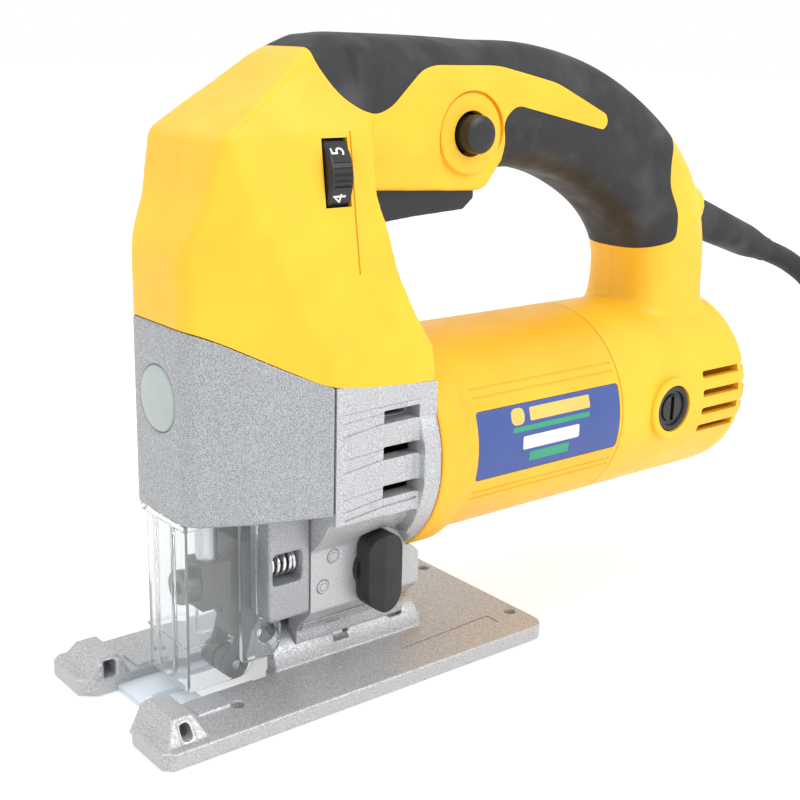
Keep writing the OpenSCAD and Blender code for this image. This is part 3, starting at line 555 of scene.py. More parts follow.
def superellipse(w, h, n, count):
    turns = [2 * pi * (k + 0.5) / count for k in range(count)]
    power = 2 / n
    return [(w * abs(cos(a)) ** power * (1 if cos(a) > 0 else -1),
             h * abs(sin(a)) ** power * (1 if sin(a) > 0 else -1)) for a in turns]


def handle_solid(inset, per_span=8, count=72):
    rings = []
    for x, z, direction, half in catmull(STATIONS, per_span):
        a = radians(direction)
        outline = superellipse(GRIP_W - inset, half - inset, HANDLE_ROUND, count)
        rings.append([(x - v * sin(a), u, z + v * cos(a)) for u, v in outline])
    return loft("handle", rings)


# Half width of the front body against height, seen from the front
FRONT_VIEW = [(-34, 61), (-34, 100), (-29.5, 125), (-25.5, 150), (-22, 175)]


def front_solid(t, bottom):
    """The front body with its skin moved in by t, down to the height bottom."""
    side = [
        (-54 + t, bottom), (-54 + t, 141), (-47.5 + t, 156), (-44 + t, 173.5 - t), (-33, 181.5 - t),
        (-22, 189 - t), (-13, 196 - t), (-3, 201.5 - t), (8 - t, 202.5 - t), (8 - t, 156),
        (11 - t, 147), (14 - t, 133), (19 - t, 121), (FLANGE_X, 110 - t), (FLANGE_X, bottom),
    ]
    plan = [
        (-54 + t, -13.5 + t / 2), (-51.5 + t / 2, -17 + t), (-37, -24.4 + t),
        (-17, -31 + t), (SPLIT_X, -33 + t), (FLANGE_X, -34 + t),
    ]
    view = [(y + t, z) for y, z in FRONT_VIEW] + [(-17 + t, 190 - t), (-13, 197 - t), (-7, 203 - t)]
    solid = along_y(side, -60, 60)
    keep(solid, along_z(plan + [(x, -y) for x, y in reversed(plan)], 0, 300))
    keep(solid, along_x(view + [(-y, z) for y, z in reversed(view)], -100, 100))
    return solid


def cover_solid(t, front):
    """The rear cup, as a turned solid with a large rounded end."""
    end_r = 16
    r = BARREL_R - t
    profile = [(front, 0.05), (front, r)]
    for k in range(13):
        a = pi / 2 * k / 12
        profile.append((REAR_X - end_r + (end_r - t) * sin(a), BARREL_R - end_r + (end_r - t) * cos(a)))
    profile.append((REAR_X - t, 0.05))
    return lathe_x(profile, 0, MOTOR_Z)


def on_relief_axis(profile, count=64):
    """A solid turned about the strain relief's axis. The profile is (distance, r) pairs."""
    side = Vector((0, 1, 0))
    up = RELIEF_WAY.cross(side)
    rings = []
    for s, r in profile:
        centre = RELIEF_FROM + RELIEF_WAY * s
        turns = [2 * pi * k / count for k in range(count)]
        rings.append([centre + side * r * cos(a) + up * r * sin(a) for a in turns])
    return loft("axis", rings)


def housing_outside():
    """The smooth outer body of both halves, with every join filleted."""
    body = front_solid(0, 88)
    union(body, handle_solid(0), cover_solid(0, 96), on_relief_axis([(-14, 11), (4, 11)]))
    # straight lower edge beside the trigger
    union(body, along_y([(6, 156.6), (56, 153.9), (59, 155.5), (67, 166), (6, 166)], -16.5, 16.5))
    soften(body, 0.85, 26)
    below = [(-70, 50), (-70, COVER_EDGE[0][1])] + COVER_EDGE + [(FLANGE_X, 50)]
    cut(body, along_y(below, -60, 60), box((FLANGE_X, -60, 20), (COVER_X + 0.15, 60, 125)))
    for side in (-1, 1):
        ring = lathe_y([(side * (BARREL_R - 4), 11.3), (side * (BARREL_R + 0.6), 11.3),
                        (side * (BARREL_R + 1.2), 10.7), (side * (BARREL_R + 1.2), 0.05),
                        (side * (BARREL_R - 4), 0.05)], BRUSH_X, MOTOR_Z)
        union(body, ring)
    return body


def housing_inside():
    """The room inside, left out where the cover carries the bearing, brushes and screws."""
    room = front_solid(WALL, 80)
    union(room, handle_solid(WALL + RUBBER_T, 4, 48), cover_solid(WALL, COVER_X - 1))
    for x, z, head in SCREWS:
        cut(room, rod_y(-BARREL_R, BARREL_R, 4, x, z, 24))
    web = rod_x(152, 156, BARREL_R, 0, MOTOR_Z)
    for k in range(6):
        a = radians(30 + 60 * k)
        cut(web, rod_x(151, 157, 6, 22 * cos(a), MOTOR_Z + 22 * sin(a), 32))
    cut(room, web, rod_x(147.5, 160, 13.5, 0, MOTOR_Z))
    cut(room, rod_y(-BARREL_R, -14.5, 9.7, BRUSH_X, MOTOR_Z), rod_y(14.5, BARREL_R, 9.7, BRUSH_X, MOTOR_Z))
    return room


def housing_openings(body):
    cut(body, rod_x(147, 162, 11, 0, MOTOR_Z), rod_x(100, 151.9, 13.2, 0, MOTOR_Z))
    cut(body, rod_y(-60, -28.5, 8.7, BRUSH_X, MOTOR_Z), rod_y(28.5, 60, 8.7, BRUSH_X, MOTOR_Z))
    cut(body, rod_y(-30, 30, 6.2, BRUSH_X, MOTOR_Z))
    # cooling slots round the rear end
    for middle_z in (-11.5, -4.5, 2.5, 9.5):
        z0 = MOTOR_Z + middle_z - 1.4
        z1 = MOTOR_Z + middle_z + 1.4
        outline = rounded([(155, z0), (REAR_X + 9, z0), (REAR_X + 9, z1), (155, z1)], 1.2)
        cut(body, along_y(outline, -60, -14), along_y(outline, 14, 60))
    cut(body, box((12, -10.4, 140), (59.2, 10.4, 166)))
    cut(body, rod_y(-60, 1.8 - GRIP_W, 13.4, LOCK.x, LOCK.z))
    face = 0.5 - GRIP_W
    boss = lathe_y([(face + 3.5, 0.05), (face + 3.5, 12.8), (face + 0.9, 12.8), (face + 0.25, 12.5),
                    (face, 11.9), (face, 0.05)][::-1], LOCK.x, LOCK.z)
    union(body, boss)
    cut(body, rod_y(-60, 0, 7.2, LOCK.x, LOCK.z))
    cut(body, along_x(circle_points((DIAL.y, DIAL.z), 14.6, 96), DIAL.x - 4.6, DIAL.x + 4.6))
    for x0, x1, z0, z1 in ((DIAL.x - 8, DIAL.x + 5.4, DIAL.z + 16.2, DIAL.z + 16.8),
                           (DIAL.x + 5.4, DIAL.x + 6.0, DIAL.z - 28, DIAL.z + 16.8)):
        cut(body, dial_line(x0, x1, z0, z1))
    cut(body, on_relief_axis([(-14.5, 8.1), (5, 8.1)]), on_relief_axis([(-30, 5), (30, 5)]))
    for x, z, head in SCREWS:
        cut(body, rod_y(-11, 60, 2, x, z, 24), rod_y(head, 60, 3.6, x, z, 32))


def dial_line(x0, x1, z0, z1):
    """A cutter for a fine line round the dial, in the sloping side of the front body."""
    depth = 0.55
    cutter = along_x([(-60, 61)] + [(y + depth, z) for y, z in FRONT_VIEW] + [(-60, 175)], x0, x1)
    return keep(cutter, box((x0 - 1, -70, z0), (x1 + 1, 0, z1)))


def split_halves(body, gap=0.03):
    other = copy_of(body)
    keep(body, box((-90, -90, 0), (220, -gap, 230)))
    keep(other, box((-90, gap, 0), (220, 90, 230)))
    return body, other


def build_housing():
    body = housing_outside()
    rubber = copy_of(body)
    core = handle_solid(RUBBER_T)
    union(core, front_solid(RUBBER_T, 90))
    outline = rounded(RUBBER_SIDE, 3.5)
    keep(rubber, along_y(outline, -60, 60))
    cut(rubber, copy_of(core))
    groove = along_y(outline, -60, 60)
    cut(groove, core)
    swell = groove.modifiers.new("swell", "DISPLACE")
    swell.strength = 0.22 * MM
    swell.mid_level = 0
    apply_modifiers(groove)
    cut(body, groove)
    cut(body, housing_inside())
    housing_openings(body)
    cut(rubber, rod_y(-60, 0, 13.4, LOCK.x, LOCK.z))
    for x, z, head in SCREWS:
        cut(rubber, rod_y(head, 60, 3.9, x, z, 32))
    cut(rubber, on_relief_axis([(-20, 8.4), (30, 8.4)]))
    # baffle that closes the view through the rear cooling slots
    baffle = rod_x(176.5, 178.5, BARREL_R - 0.5, 0, MOTOR_Z)
    cut(baffle, rod_x(170, 180, 12, 0, MOTOR_Z))
    union(body, baffle)
    left, right = split_halves(body)
    place(left, "cover_left", YELLOW, "yellow_shell", ("housing_left",))
    place(right, "cover_right", YELLOW, "yellow_shell", ("housing_right",))
    left, right = split_halves(rubber, 0.02)
    place(left, "rubber_left", RUBBER, "rubber_grip", ("grip_left",))
    place(right, "rubber_right", RUBBER, "rubber_grip", ("grip_right",))


def barrel_groove(x0, x1, z):
    """A cutter for a fine line, 0.35 deep, along the near side of the motor housing."""
    a = asin((z - MOTOR_Z) / BARREL_R)
    out = Vector((-cos(a), sin(a)))
    across = Vector((sin(a), cos(a)))
    centre = Vector((0, MOTOR_Z))
    corners = []
    for lift, half in ((-0.35, -0.3), (-0.35, 0.3), (1, 0.7), (1, -0.7)):
        corners.append(tuple(centre + out * (BARREL_R + lift) + across * half))
    return along_x(corners, x0, x1)


def build_motor_housing():
    edge = 0.5
    ring_r = BARREL_R + 2.5
    profile = [
        (FLANGE_X + 0.15, BARREL_R - WALL), (FLANGE_X + 0.15, ring_r - edge),
        (FLANGE_X + 0.15 + edge, ring_r),
        (FLANGE_X + 10.5, ring_r), (FLANGE_X + 11.6, ring_r - 0.5), (FLANGE_X + 12.4, ring_r - 1.7),
        (FLANGE_X + 13.2, BARREL_R + 0.25), (FLANGE_X + 14.4, BARREL_R), (COVER_X - 0.3, BARREL_R),
        (COVER_X - 0.15, BARREL_R - 0.25), (COVER_X - 0.15, BARREL_R - WALL),
    ]
    turns = [2 * pi * k / 192 for k in range(192)]
    rings = [[(x, r * cos(a), MOTOR_Z + r * sin(a)) for a in turns] for x, r in profile]
    count = len(turns)
    points = [p for ring in rings for p in ring]
    faces = []
    for i in range(len(rings)):
        j = (i + 1) % len(rings)
        for k in range(count):
            n = (k + 1) % count
            faces.append([i * count + k, i * count + n, j * count + n, j * count + k])
    tube = tidy_mesh(mesh_object("tube", points, faces))
    for k in range(4):
        a = radians(45 + 90 * k)
        rib = box((STATOR_X[0] - 4, -4, 31), (STATOR_X[1] + 4, 4, BARREL_R - 1.5))
        rib.data.transform(Matrix.Translation(Vector((0, 0, MOTOR_Z)) * MM) @ Matrix.Rotation(a, 4, "X"))
        union(tube, rib)
    z0, z1 = MOTOR_Z - 10, MOTOR_Z + 13.3
    field = along_y(rounded([(42, z0), (109, z0), (109, z1), (42, z1)], 1.6), -60, -20)
    keep(field, cylinder_shell(BARREL_R - 0.6, BARREL_R + 2))
    cut(tube, field)
    for z in (z0 - 4.4, z0 - 6.8, z1 + 4.0, z1 + 6.6):
        cut(tube, barrel_groove(42, 108, z))
    # the motor tube takes the darker yellow copy, which is painted shade
    place(tube, "motor_tube", YELLOW_SHADED, "yellow_shell", ("motor_housing",))


def cylinder_shell(inner, outer):
    """A thick tube along the motor housing, used to keep things on its surface."""
    shell = rod_x(30, 115, outer, 0, MOTOR_Z, 192)
    return cut(shell, rod_x(29, 116, inner, 0, MOTOR_Z, 192))


def label_patch(name, material, outline, lift, corner=0.5):
    patch = along_y(rounded(outline, corner), -60, -20)
    keep(patch, cylinder_shell(BARREL_R - 0.55, BARREL_R - 0.1 + lift))
    return place(patch, name, material, "label")


def build_label():
    z0, z1 = MOTOR_Z - 9.85, MOTOR_Z + 13.15
    x0, x1 = 42.15, 108.85
    plate = label_patch("label", LABEL_BLUE, [(x0, z0), (x1, z0), (x1, z1), (x0, z1)], 0, 1.5)
    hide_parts("name_plate")
    bars = [
        ("label_emblem", LABEL_GOLD, 57, 63, 79, 84.5, 2.6),
        ("label_band_gold", LABEL_GOLD, 65.5, 94, 79.6, 84, 0.6),
        ("label_band_green", LABEL_GREEN, 57.5, 93.5, 76.6, 78.3, 0.2),
        ("label_band_white", WHITE_PRINT, 62, 88.5, 70.2, 74.8, 0.8),
        ("label_foot_green", LABEL_GREEN, 65.5, 84, 65.6, 69, 0.3),
    ]
    for name, material, low_x, high_x, low_z, high_z, corner in bars:
        outline = [(low_x, low_z), (high_x, low_z), (high_x, high_z), (low_x, high_z)]
        label_patch(name, material, outline, 0.04, corner)


build_housing()
build_motor_housing()
build_label()


# ---------- controls ----------
def build_trigger():
    trigger = soften(cad_copy("trigger"), 0.35, 6)
    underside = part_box("trigger")[0].z / MM - 0.05
    for k in range(3):
        cut(trigger, rod_y(-20, 20, 0.5, 26 + 7 * k, underside + 0.2 * k, 16))
    place(trigger, "trigger_paddle", BLACK, "black_plastic", ("trigger",), "trigger")


def build_lock_button():
    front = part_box("lock_button")[0].y / MM - 2.2
    shape = [
        (front + 6.4, 0.05), (front + 6.4, 6.0), (front + 1.1, 6.0), (front + 0.4, 5.7), (front, 4.9),
        (front - 0.25, 3.4), (front - 0.35, 1.8), (front - 0.38, 0.05),
    ]
    button = lathe_y(shape, LOCK.x, LOCK.z)
    union(button, lathe_y([(-18, 0.05), (-18, 3), (-13.4, 3), (-13.2, 2.8), (-13.2, 0.05)], LOCK.x, LOCK.z))
    union(button, round_edges(box((LOCK.x - 8, -13.2, 171.6), (LOCK.x + 8, -12.2, 177)), 0.3))
    place(button, "lock_push_button", BLACK, "black_plastic", ("lock_button",), "lock_button")


DIAL_R = 13.9
DIGITS = 6


def wrap_on_dial(thing, turn):
    """Rolls flat lettering, drawn in millimetres, onto the rim of the speed wheel."""
    for vertex in thing.data.vertices:
        along, around, lift = vertex.co.x, vertex.co.y, vertex.co.z
        a = turn + around / DIAL_R
        r = DIAL_R - 0.55 + lift
        vertex.co = Vector((DIAL.x + along, DIAL.y - r * cos(a), DIAL.z + r * sin(a))) * MM


def dial_digit(number, turn):
    data = bpy.data.curves.new("digit", "FONT")
    data.body = str(number)
    data.size = 6.6
    data.align_x = "CENTER"
    data.align_y = "CENTER"
    data.extrude = 0.12
    data.resolution_u = 3
    words = link("digit", data)
    graph = bpy.context.evaluated_depsgraph_get()
    digit = link("digit_mesh", bpy.data.meshes.new_from_object(words.evaluated_get(graph)))
    bpy.data.objects.remove(words)
    shape = bmesh.new()
    shape.from_mesh(digit.data)
    bmesh.ops.rotate(shape, verts=shape.verts, matrix=Matrix.Rotation(radians(90), 3, "Z"))
    bmesh.ops.subdivide_edges(shape, edges=[e for e in shape.edges if e.calc_length() > 1.2], cuts=2)
    bmesh.ops.triangulate(shape, faces=shape.faces)
    shape.to_mesh(digit.data)
    shape.free()
    wrap_on_dial(digit, turn)
    return place(digit, f"dial_number_{number}", WHITE_PRINT, "black_plastic", (), "speed_dial")


def build_dial():
    half = 4.1
    wheel = lathe_x([
        (DIAL.x - half, 3.05), (DIAL.x - half, DIAL_R - 0.7), (DIAL.x - half + 0.5, DIAL_R),
        (DIAL.x + half - 0.5, DIAL_R), (DIAL.x + half, DIAL_R - 0.7), (DIAL.x + half, 3.05),
    ], DIAL.y, DIAL.z, 144)
    cut(wheel, rod_x(DIAL.x - 9, DIAL.x + 9, 3.05, DIAL.y, DIAL.z, 48))
    step = 2 * pi / DIGITS
    for k in range(DIGITS):
        flat = radians(-25) + k * step
        # a smooth sunken field for the number, then five ribs
        field = box((-half + 1.1, -3.4, DIAL_R - 0.65), (9, 3.4, DIAL_R + 2))
        turn_to_rim(field, flat)
        cut(wheel, field)
        for rib in range(5):
            groove = box((-half + 1.1, -0.42, DIAL_R - 0.75), (9, 0.42, DIAL_R + 2))
            turn_to_rim(groove, flat + step / 2 + (rib - 2) * 0.118)
            cut(wheel, groove)
        dial_digit((3 + k) % DIGITS + 1, flat)
    place(wheel, "speed_wheel", BLACK, "black_plastic", ("speed_dial",), "speed_dial", 30)


def turn_to_rim(thing, a):
    """Turns a cutter drawn above the wheel, along Z, to the angle a from the near side."""
    spin = Matrix.Rotation(pi / 2 - a, 4, "X")
    thing.data.transform(Matrix.Translation(Vector((DIAL.x, DIAL.y, DIAL.z)) * MM) @ spin)


def build_knob():
    low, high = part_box("orbit_knob")
    half = (high.x - low.x) / 2 / MM
    reach = (high.z - low.z) / 2 / MM - half
    base = -20.5
    outline = []
    for k in range(33):
        a = pi * k / 32
        outline.append((KNOB.x + half * cos(a), KNOB.z + reach + half * sin(a)))
    outline += [(2 * KNOB.x - x, 2 * KNOB.z - z) for x, z in outline]
    grip = along_y(outline, -30, base)
    crease = KNOB.x - 1.4
    keep(grip, along_z([
        (KNOB.x - 9, base + 1), (KNOB.x - 9, -25.8), (crease, -29.5),
        (KNOB.x + 9, -27.9), (KNOB.x + 9, base + 1),
    ], 0, 90))
    round_edges(grip, 0.7, 4, 12)
    profile = [(base - 1.2, 0.05), (base - 1.2, 7.2), (base, 7.6), (base + 0.2, 7.6), (base + 0.2, 0.05)]
    skirt = lathe_y(profile, KNOB.x, KNOB.z)
    union(grip, skirt, rod_y(base - 0.5, -9, 4, KNOB.x, KNOB.z))
    place(grip, "orbit_lever", KNOB_BLACK, "black_plastic", ("orbit_knob",), "orbit_knob")


def build_brush_caps():
    for side, name in ((-1, "left"), (1, "right")):
        face = side * (BARREL_R + 0.6)
        inward = -side
        profile = [
            (face + inward * 7.6, 0.05), (face + inward * 7.6, 8.6), (face + inward * 0.5, 8.6), (face, 8.1),
            (face + inward * 0.1, 6.6), (face + inward * 1.1, 6.2), (face + inward * 1.2, 5.2),
            (face + inward * 0.5, 4.9), (face + inward * 0.4, 0.05),
        ]
        cap = lathe_y(profile, BRUSH_X, MOTOR_Z)
        slot_low, slot_high = sorted((face - inward, face + inward * 2.0))
        cut(cap, box((BRUSH_X - 0.9, slot_low, MOTOR_Z - 4.6), (BRUSH_X + 0.9, slot_high, MOTOR_Z + 4.6)))
        nose = sorted((side * 29, side * 23))
        union(cap, rod_y(nose[0], nose[1], 2.4, BRUSH_X, MOTOR_Z, 32))
        place(cap, f"brush_cap_screw_{name}", BLACK, "black_plastic", (f"brush_cap_{name}",))


# ---------- castings ----------
def side_groove(points, width, depth):
    """A cutter for a fine line on the near side of the rear casting, through (x, z) points."""
    cutters = []
    for (x0, z0), (x1, z1) in zip(points, points[1:]):
        away = Vector((x1 - x0, z1 - z0)).normalized()
        side = Vector((-away.y, away.x)) * width / 2
        corners = [(x0 + side.x, z0 + side.y), (x1 + side.x, z1 + side.y),
                   (x1 - side.x, z1 - side.y), (x0 - side.x, z0 - side.y)]
        face = [-33 - (x - SPLIT_X) / (FLANGE_X - SPLIT_X) for x, z in corners]
        rings = [[(x, y + d, z) for (x, z), y in zip(corners, face)] for d in (-3, depth)]
        cutters.append(loft("line", rings))
    return cutters


def mirrored(things):
    """The same cutters on the other side."""
    made = []
    for thing in things:
        other = copy_of(thing)
        other.data.transform(Matrix.Scale(-1, 4, (0, 1, 0)))
        made.append(tidy_mesh(other))
    return things + made


VENT_Z = (90.5, 79, 66.5)


def trim_casting(case):
    """Takes a casting back to the smooth lower edge of the yellow cover."""
    above = along_y(COVER_EDGE + [(FLANGE_X, 130), (-70, 130), (-70, COVER_EDGE[0][1])], -60, 60)
    return cut(case, cut(above, front_solid(WALL + 0.4, 60)))


def build_rear_casting():
    case = soften(cad_copy("gear_case_rear"), 0.5, 7)
    lines = side_groove([(-10, 93.6), (18.2, 94.6)], 0.35, 0.2)
    for z in VENT_Z:
        lines += side_groove([(-10.2, z + 0.4), (5.4, z + 1.6)], 0.4, 0.22)
        lines += side_groove([(-10.2, z - 3.7), (5.4, z - 1.6)], 0.5, 0.35)
    lines += side_groove([(-9.5, 60.2), (5.2, 62.0), (17.4, 62.6)], 0.8, 0.5)
    windows = []
    for z in VENT_Z:
        outline = rounded([(4.6, z - 2.1), (18.2, z - 1.9), (18.2, z + 2.3), (4.6, z + 2.1)], 0.3, 2)
        windows.append(along_y(outline, -60, -27))
    cut(case, *mirrored(lines + windows))
    trim_casting(case)
    cut(case, box((SPLIT_X - 5, -60, 0), (SPLIT_X + 0.25, 60, 200)))
    place(case, "rear_casting", SILVER, "cast_silver", ("gear_case_rear",))


def build_front_casting():
    case = soften(cad_copy("gear_case_front"), 0.55, 12)
    trim_casting(case)
    cut(case, box((SPLIT_X - 0.25, -60, 0), (SPLIT_X + 5, 60, 200)))
    # the front casting takes the darker silver copy, which is painted shade
    place(case, "front_casting", SILVER_SHADED, "cast_silver", ("gear_case_front",))


def build_front_plug():
    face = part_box("front_plug")[0].x / MM
    z = middle("front_plug").z
    disc = lathe_x([(face + 1.85, 0.05), (face + 1.85, 10), (face + 0.7, 10), (face + 0.2, 9.6), (face, 8.6),
                    (face - 0.1, 4), (face - 0.12, 0.05)], 0, z)
    place(disc, "front_cap", PLUG_GREY, "plug_grey", ("front_plug",))


def pin_head(node, name, material, slot_name, body="saw"):
    """A pin with a domed, ringed head and a chamfered tail."""
    low, high = (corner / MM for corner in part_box(node))
    r = (high.x - low.x) / 2
    x, z = (low.x + high.x) / 2, (low.z + high.z) / 2
    profile = [
        (high.y, 0.05), (high.y, r - 0.4), (high.y - 0.4, r), (low.y + 0.3, r), (low.y, r - 0.25),
        (low.y - 0.05, r - 0.6), (low.y + 0.2, r - 0.75), (low.y + 0.2, r - 0.95), (low.y - 0.1, r - 1.1),
        (low.y - 0.2, 0.05),
    ]
    pin = lathe_y(profile[::-1], x, z, 48)
    place(pin, name, material, slot_name, (node,), body, 40)


def build_foot_trim():
    """A bright rail along each side of the foot, and a black stop behind it."""
    section = [(13.9, 19.3), (14.6, 20.0), (14.9, 19.9), (12.9, 16.4), (12.3, 16.4)]
    for side, name in ((-1, "near"), (1, "far")):
        outline = [(side * y, z) for y, z in section]
        rail = round_edges(along_x(outline, SPLIT_X + 1.2, 30.4), 0.15, 2)
        place(rail, f"foot_rail_{name}", SPRING, "cast_silver")
    profile = [(30.2, 0.05), (30.2, 4.4), (32.6, 4.4), (33.4, 3.8), (33.7, 2.0), (33.4, 0.05)]
    stop = lathe_x(profile, -9.5, 30, 48)
    place(stop, "foot_bumper", BLACK, "black_plastic")


# ---------- blade drive ----------
def build_clamp():
    clamp = soften(cad_copy("blade_clamp"), 0.25, 3)
    place(clamp, "blade_holder", DARK_STEEL, "dark_steel", ("blade_clamp",), "plunger")
    screw = round_edges(cad_copy("clamp_screw"), 0.4, 3)
    place(screw, "blade_screw", DARK_STEEL, "dark_steel", ("clamp_screw",), "plunger")
    arm = soften(cad_copy("roller_arm"), 0.3, 5)
    place(arm, "roller_fork", DARK_STEEL, "dark_steel", ("roller_arm",), "roller_arm")
    roller = round_edges(cad_copy("blade_roller"), 0.35, 3)
    place(roller, "grooved_roller", DARK_STEEL, "dark_steel", ("blade_roller",), "blade_roller")
    pin_head("roller_pin", "roller_axle", STEEL, "steel", "roller_arm")
    pin_head("arm_pivot_pin", "pivot_pin_head", SILVER, "cast_silver")
    pin_head("stop_pin", "stop_pin_head", SILVER, "cast_silver")


def build_spring():
    low, high = (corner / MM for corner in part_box("arm_spring"))
    wire, turns, per_turn = 0.68, 5.0, 40
    r = (high.z - low.z) / 2 - wire
    centre = (low + high) / 2
    length = high.x - low.x - 2 * wire
    data = bpy.data.curves.new("pressure_spring", "CURVE")
    data.dimensions = "3D"
    data.bevel_depth = wire * MM
    data.bevel_resolution = 3
    data.use_fill_caps = True
    spline = data.splines.new("POLY")
    count = int(turns * per_turn)
    spline.points.add(count)
    for i, point in enumerate(spline.points):
        a = 2 * pi * i / per_turn
        t = i / count
        along = low.x + wire + length * min(1, max(0, t * 1.3 - 0.15))
        point.co = (*(Vector((along, centre.y + r * sin(a), centre.z + r * cos(a))) * MM), 1)
    data.materials.append(SPRING)
    coil = link("pressure_spring", data)
    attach(coil, "saw")
    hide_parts("arm_spring")


# ---------- clear guard ----------
def bead(points, r, name="bead"):
    """A thin round rod through points, for raised beads on the guard."""
    rings = []
    last = len(points) - 1
    for i, point in enumerate(points):
        way = (Vector(points[min(last, i + 1)]) - Vector(points[max(0, i - 1)])).normalized()
        side = way.cross(Vector((1, 0, 0))).normalized()
        other = side.cross(way)
        rings.append([Vector(point) + r * (side * cos(2 * pi * k / 12) + other * sin(2 * pi * k / 12))
                      for k in range(12)])
    return loft(name, rings)


def build_guard():
    low, high = (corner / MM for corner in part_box("blade_guard"))
    front, rear = -52.5, -28.0
    half, skin = 12.2, 1.3
    top, bottom = high.z, low.z
    outer = box((front, -half, bottom), (rear, half, top))
    # rounded lower rear corners, then the hollow
    corner = along_y([(rear - 7, bottom - 1), (rear + 1, bottom - 1), (rear + 1, bottom + 7)]
                     + [(rear - 7 + 7 * cos(a), bottom + 7 + 7 * sin(a))
                        for a in [-pi / 2 * k / 8 for k in range(9)]], -20, 20)
    cut(outer, corner)
    round_edges(outer, 1.0, 4)
    cut(outer, box((front + skin, -half + skin, bottom - 5), (rear + 9, half - skin, top + 5)))
    tabs = []
    for side in (-1, 1):
        outline = rounded([(-34.5, top), (-28.4, top), (-28.4, 25.6), (-21, 25.6), (-20, 22), (-20, 15),
                           (-23, 12), (-34.5, 12)], 1.6)
        tab = round_edges(along_y(outline, *sorted((side * (half - 0.1), side * (half + 2)))), 0.35, 2)
        tabs.append(tab)
    union(outer, *tabs)
    cut(outer, rod_y(-20, 20, 3.6, -24.5, 19.5))
    # step line round the lower third
    step = box((front - 0.35, -half - 0.35, bottom + 14.5), (rear - 6.5, half + 0.35, bottom + 15.3))
    round_edges(step, 0.25, 2)
    cut(step, box((front + 0.6, -half + 0.6, bottom), (rear + 9, half - 0.6, top)))
    union(outer, step)
    # raised U on the front face
    leg = 5.2
    foot = bottom + 8
    face = front - 0.2
    heights = [top - 2 - k * 4 for k in range(20)]
    down = [(face, -leg, z) for z in heights if z > foot + 2]
    turns = [pi * k / 12 for k in range(13)]
    turn = [(face, -leg * cos(a), foot - leg * 1.1 * sin(a)) for a in turns]
    back = [(face, leg, z) for z in reversed(heights) if z > foot + 2]
    union(outer, bead(down + turn + back, 0.9))
    lip = round_edges(box((front - 1.1, -half - 1.1, top - 2), (front + 4, half + 1.1, top)), 0.3)
    cut(lip, box((front + skin, -half + skin, top - 9), (rear, half - skin, top + 5)))
    union(outer, lip)
    place(outer, "clear_shield", CLEAR, "clear_guard", ("blade_guard",))


# ---------- shoe ----------
def build_shoe():
    shoe = soften(cad_copy("shoe"), 0.42, 6)
    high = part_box("shoe")[1] / MM
    plate_top = 4.0
    # the guide slots narrow to small oval mouths in the outer faces of the blocks
    for side in (-1, 1):
        foot, top = high.y - 2.8, high.y - 7.2
        slope = [(foot - 3.5, 4.6), (foot, 4.6), (top, 11.3), (top - 3.5, 11.3)]
        union(shoe, along_x([(side * y, z) for y, z in slope], -68.2, -62.8))
        near, far = sorted((side * (high.y + 5), side * (high.y - 9)))
        mouth = rounded([(-67.3, 5.8), (-63.7, 5.8), (-63.7, 10.4), (-67.3, 10.4)], 1.8)
        cut(shoe, along_y(mouth, near, far))
    # round notch in the ridge beside the clamp
    for side in (-1, 1):
        cut(shoe, rod_z(9, 40, 3.1, 4.4, side * 13.4))
    # witness marks of the angle stop
    for a, b in (((21, -24.7), (61, -22.4)), ((61, -22.4), (61, -28.5))):
        cut(shoe, floor_groove(a, b, plate_top, 0.5))
    place(shoe, "sole_plate", SHOE_PAINT, "steel_shoe", ("shoe",), "shoe")


def floor_groove(a, b, height, width):
    away = (Vector(b) - Vector(a)).normalized()
    side = Vector((-away.y, away.x)) * width / 2
    corners = [Vector(a) + side, Vector(b) + side, Vector(b) - side, Vector(a) - side]
    return along_z([tuple(c) for c in corners], height - 0.45, height + 5)


def build_insert():
    insert = round_edges(cad_copy("slot_insert"), 0.3, 2)
    place(insert, "splinter_guard", CLEAR_BLUE, "clear_insert", ("slot_insert",), "shoe")


# ---------- cord fittings ----------
def build_relief():
    profile = [(-13.4, 0.05), (-13.4, 8.0), (3.6, 8.0), (4.6, 7.8), (5.4, 7.7)]
    for k in range(1, 25):
        s = 5.4 + (RELIEF_L - 5.4) * k / 24
        profile.append((s, 7.7 - 1.3 * ease(s, 0, RELIEF_L) - 1.4 * ease(s, RELIEF_L - 16, RELIEF_L)))
    profile += [(RELIEF_L, 0.05)]
    sleeve = on_relief_axis(profile)
    cut(sleeve, on_relief_axis([(-20, 4.5), (RELIEF_L + 5, 4.5)]))
    place(sleeve, "cord_sleeve", RUBBER, "cord_rubber", ("strain_relief",))


def build_plug():
    low, high = (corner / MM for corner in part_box("plug"))
    centre = (low + high) / 2
    stub, body_end = low.x, high.x - 19
    case = cad_copy("plug")
    cut(case, box((body_end + 0.1, -90, 10), (500, 0, 60)))
    soften(case, 0.45, 10)
    for k in range(5):
        x = stub + 23 + 2.6 * k
        for side in (-1, 1):
            y = centre.y + side * 17.2
            cut(case, box((x, min(y, y + side * 3), 25), (x + 1.2, max(y, y + side * 3), 43)))
    for k in range(4):
        x = stub + 3 + 3.2 * k
        ring = rod_x(x, x + 1.1, 9, centre.y, centre.z, 32)
        cut(ring, rod_x(x - 1, x + 2, 5.1, centre.y, centre.z, 32))
        cut(case, ring)
    place(case, "plug_body", RUBBER, "cord_rubber", ("plug",))
    pins = []
    for side, name in ((-1, "near"), (1, "far")):
        y = centre.y + side * 9.5
        profile = [(-2, 0.05), (-2, 2.35), (16.6, 2.35), (18.2, 1.8), (18.9, 0.9), (19, 0.05)]
        pin = lathe_x([(body_end + s, r) for s, r in profile], y, centre.z, 32)
        pins.append(place(pin, f"plug_pin_{name}", STEEL, "steel"))
    return pins


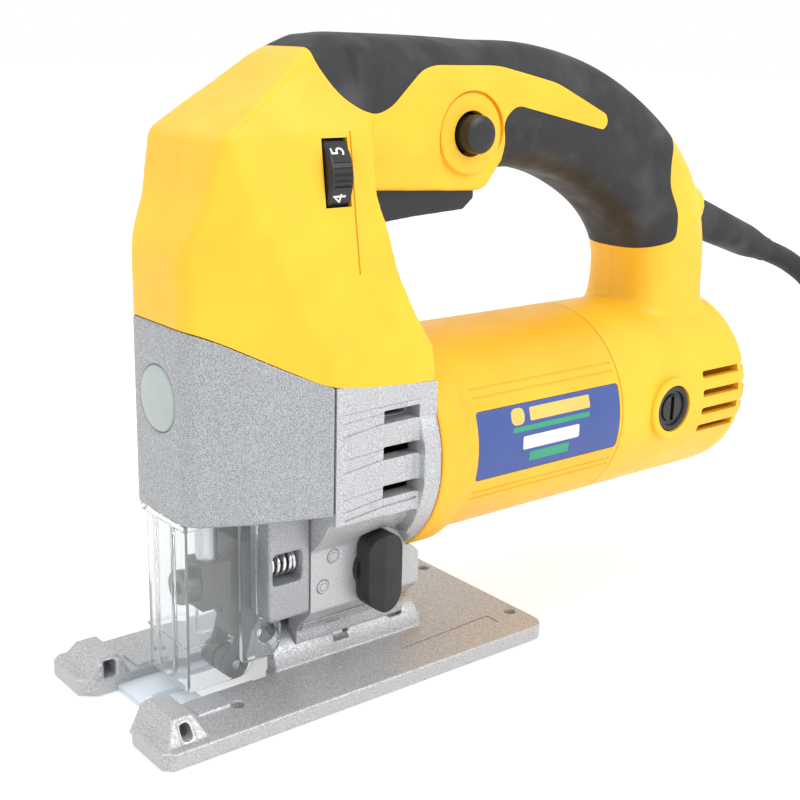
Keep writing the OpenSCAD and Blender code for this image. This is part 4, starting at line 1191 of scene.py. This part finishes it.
def build_tie():
    """A strap round the coiled cord."""
    a = radians(285)
    inner, outer = COIL_R - CORD_D, COIL_R + CORD_D
    x0, x1 = inner - 0.9, outer + 0.9
    strap = along_y(rounded([(x0, -0.25), (x1, -0.25), (x1, 27.9), (x0, 27.9)], 3), -5, 5)
    x0, x1 = inner + 0.1, outer - 0.1
    cut(strap, along_y(rounded([(x0, 0.6), (x1, 0.6), (x1, 26.9), (x0, 26.9)], 2.5), -6, 6))
    union(strap, round_edges(box((outer + 0.6, -3.5, 9), (outer + 2.4, 3.5, 17)), 0.4))
    turn = Matrix.Translation(Vector((COIL_AT.x, COIL_AT.y, 0)) * MM) @ Matrix.Rotation(a, 4, "Z")
    strap.data.transform(turn)
    place(strap, "cord_strap", BLACK, "black_plastic")
    return strap


build_trigger()
build_lock_button()
build_dial()
build_knob()
build_brush_caps()
build_rear_casting()
build_front_casting()
build_front_plug()
build_foot_trim()
build_clamp()
build_spring()
build_guard()
build_shoe()
build_insert()
build_relief()
pins = build_plug()
strap = build_tie()

# ---------- carried-over CAD pieces ----------
INNER = {
    BOARD: ("speed_module",),
    BLACK: ("switch_body", "cooling_fan", "cord_clamp"),
    BRASS: ("brush_holders", "plunger_bushes"),
    CARBON: ("carbon_brushes",),
    CORE: ("stator_core", "armature"),
    COPPER: ("field_coils", "commutator"),
    STEEL: ("motor_bearings", "drive_gear", "gear_axle", "plunger", "clamp_plate"),
    DARK_STEEL: ("shoe_bolts", "housing_screws", "case_screws"),
}
for material, names in INNER.items():
    for node_name in names:
        NODES[node_name].data.materials.clear()
        NODES[node_name].data.materials.append(material)


# ---------- stage ----------
def add_stage():
    reach = 6000
    sides = [(-reach, -reach), (reach, -reach), (reach, reach), (-reach, reach)]
    floor = mesh_object("floor", [(x, y, -0.3) for x, y in sides], [(0, 1, 2, 3)])
    paper = new_material("paper", (0.6, 0.6, 0.6), 0.9, Specular_IOR_Level=0.0)
    glow = paper.node_tree.nodes["Principled BSDF"].inputs
    glow["Emission Color"].default_value = (1, 1, 1, 1)
    glow["Emission Strength"].default_value = 0.5
    floor.data.materials.append(paper)
    world = bpy.data.worlds.new("studio")
    world.use_nodes = True
    world.node_tree.nodes["Background"].inputs["Color"].default_value = (1, 1, 1, 1)
    world.node_tree.nodes["Background"].inputs["Strength"].default_value = 1.0
    bpy.context.scene.world = world
    bpy.context.scene.view_settings.view_transform = "Standard"
    for name, spot, size, power in (
        ("key", (500, -1100, 900), 700, 7), ("top", (-200, 100, 1300), 900, 5),
    ):
        data = bpy.data.lights.new(name, "AREA")
        data.energy = power
        data.size = size * MM
        lamp = link(name, data)
        lamp.location = Vector(spot) * MM
        lamp.rotation_euler = (Vector((20, 0, 90)) * MM - lamp.location).to_track_quat("-Z", "Y").to_euler()


add_stage()
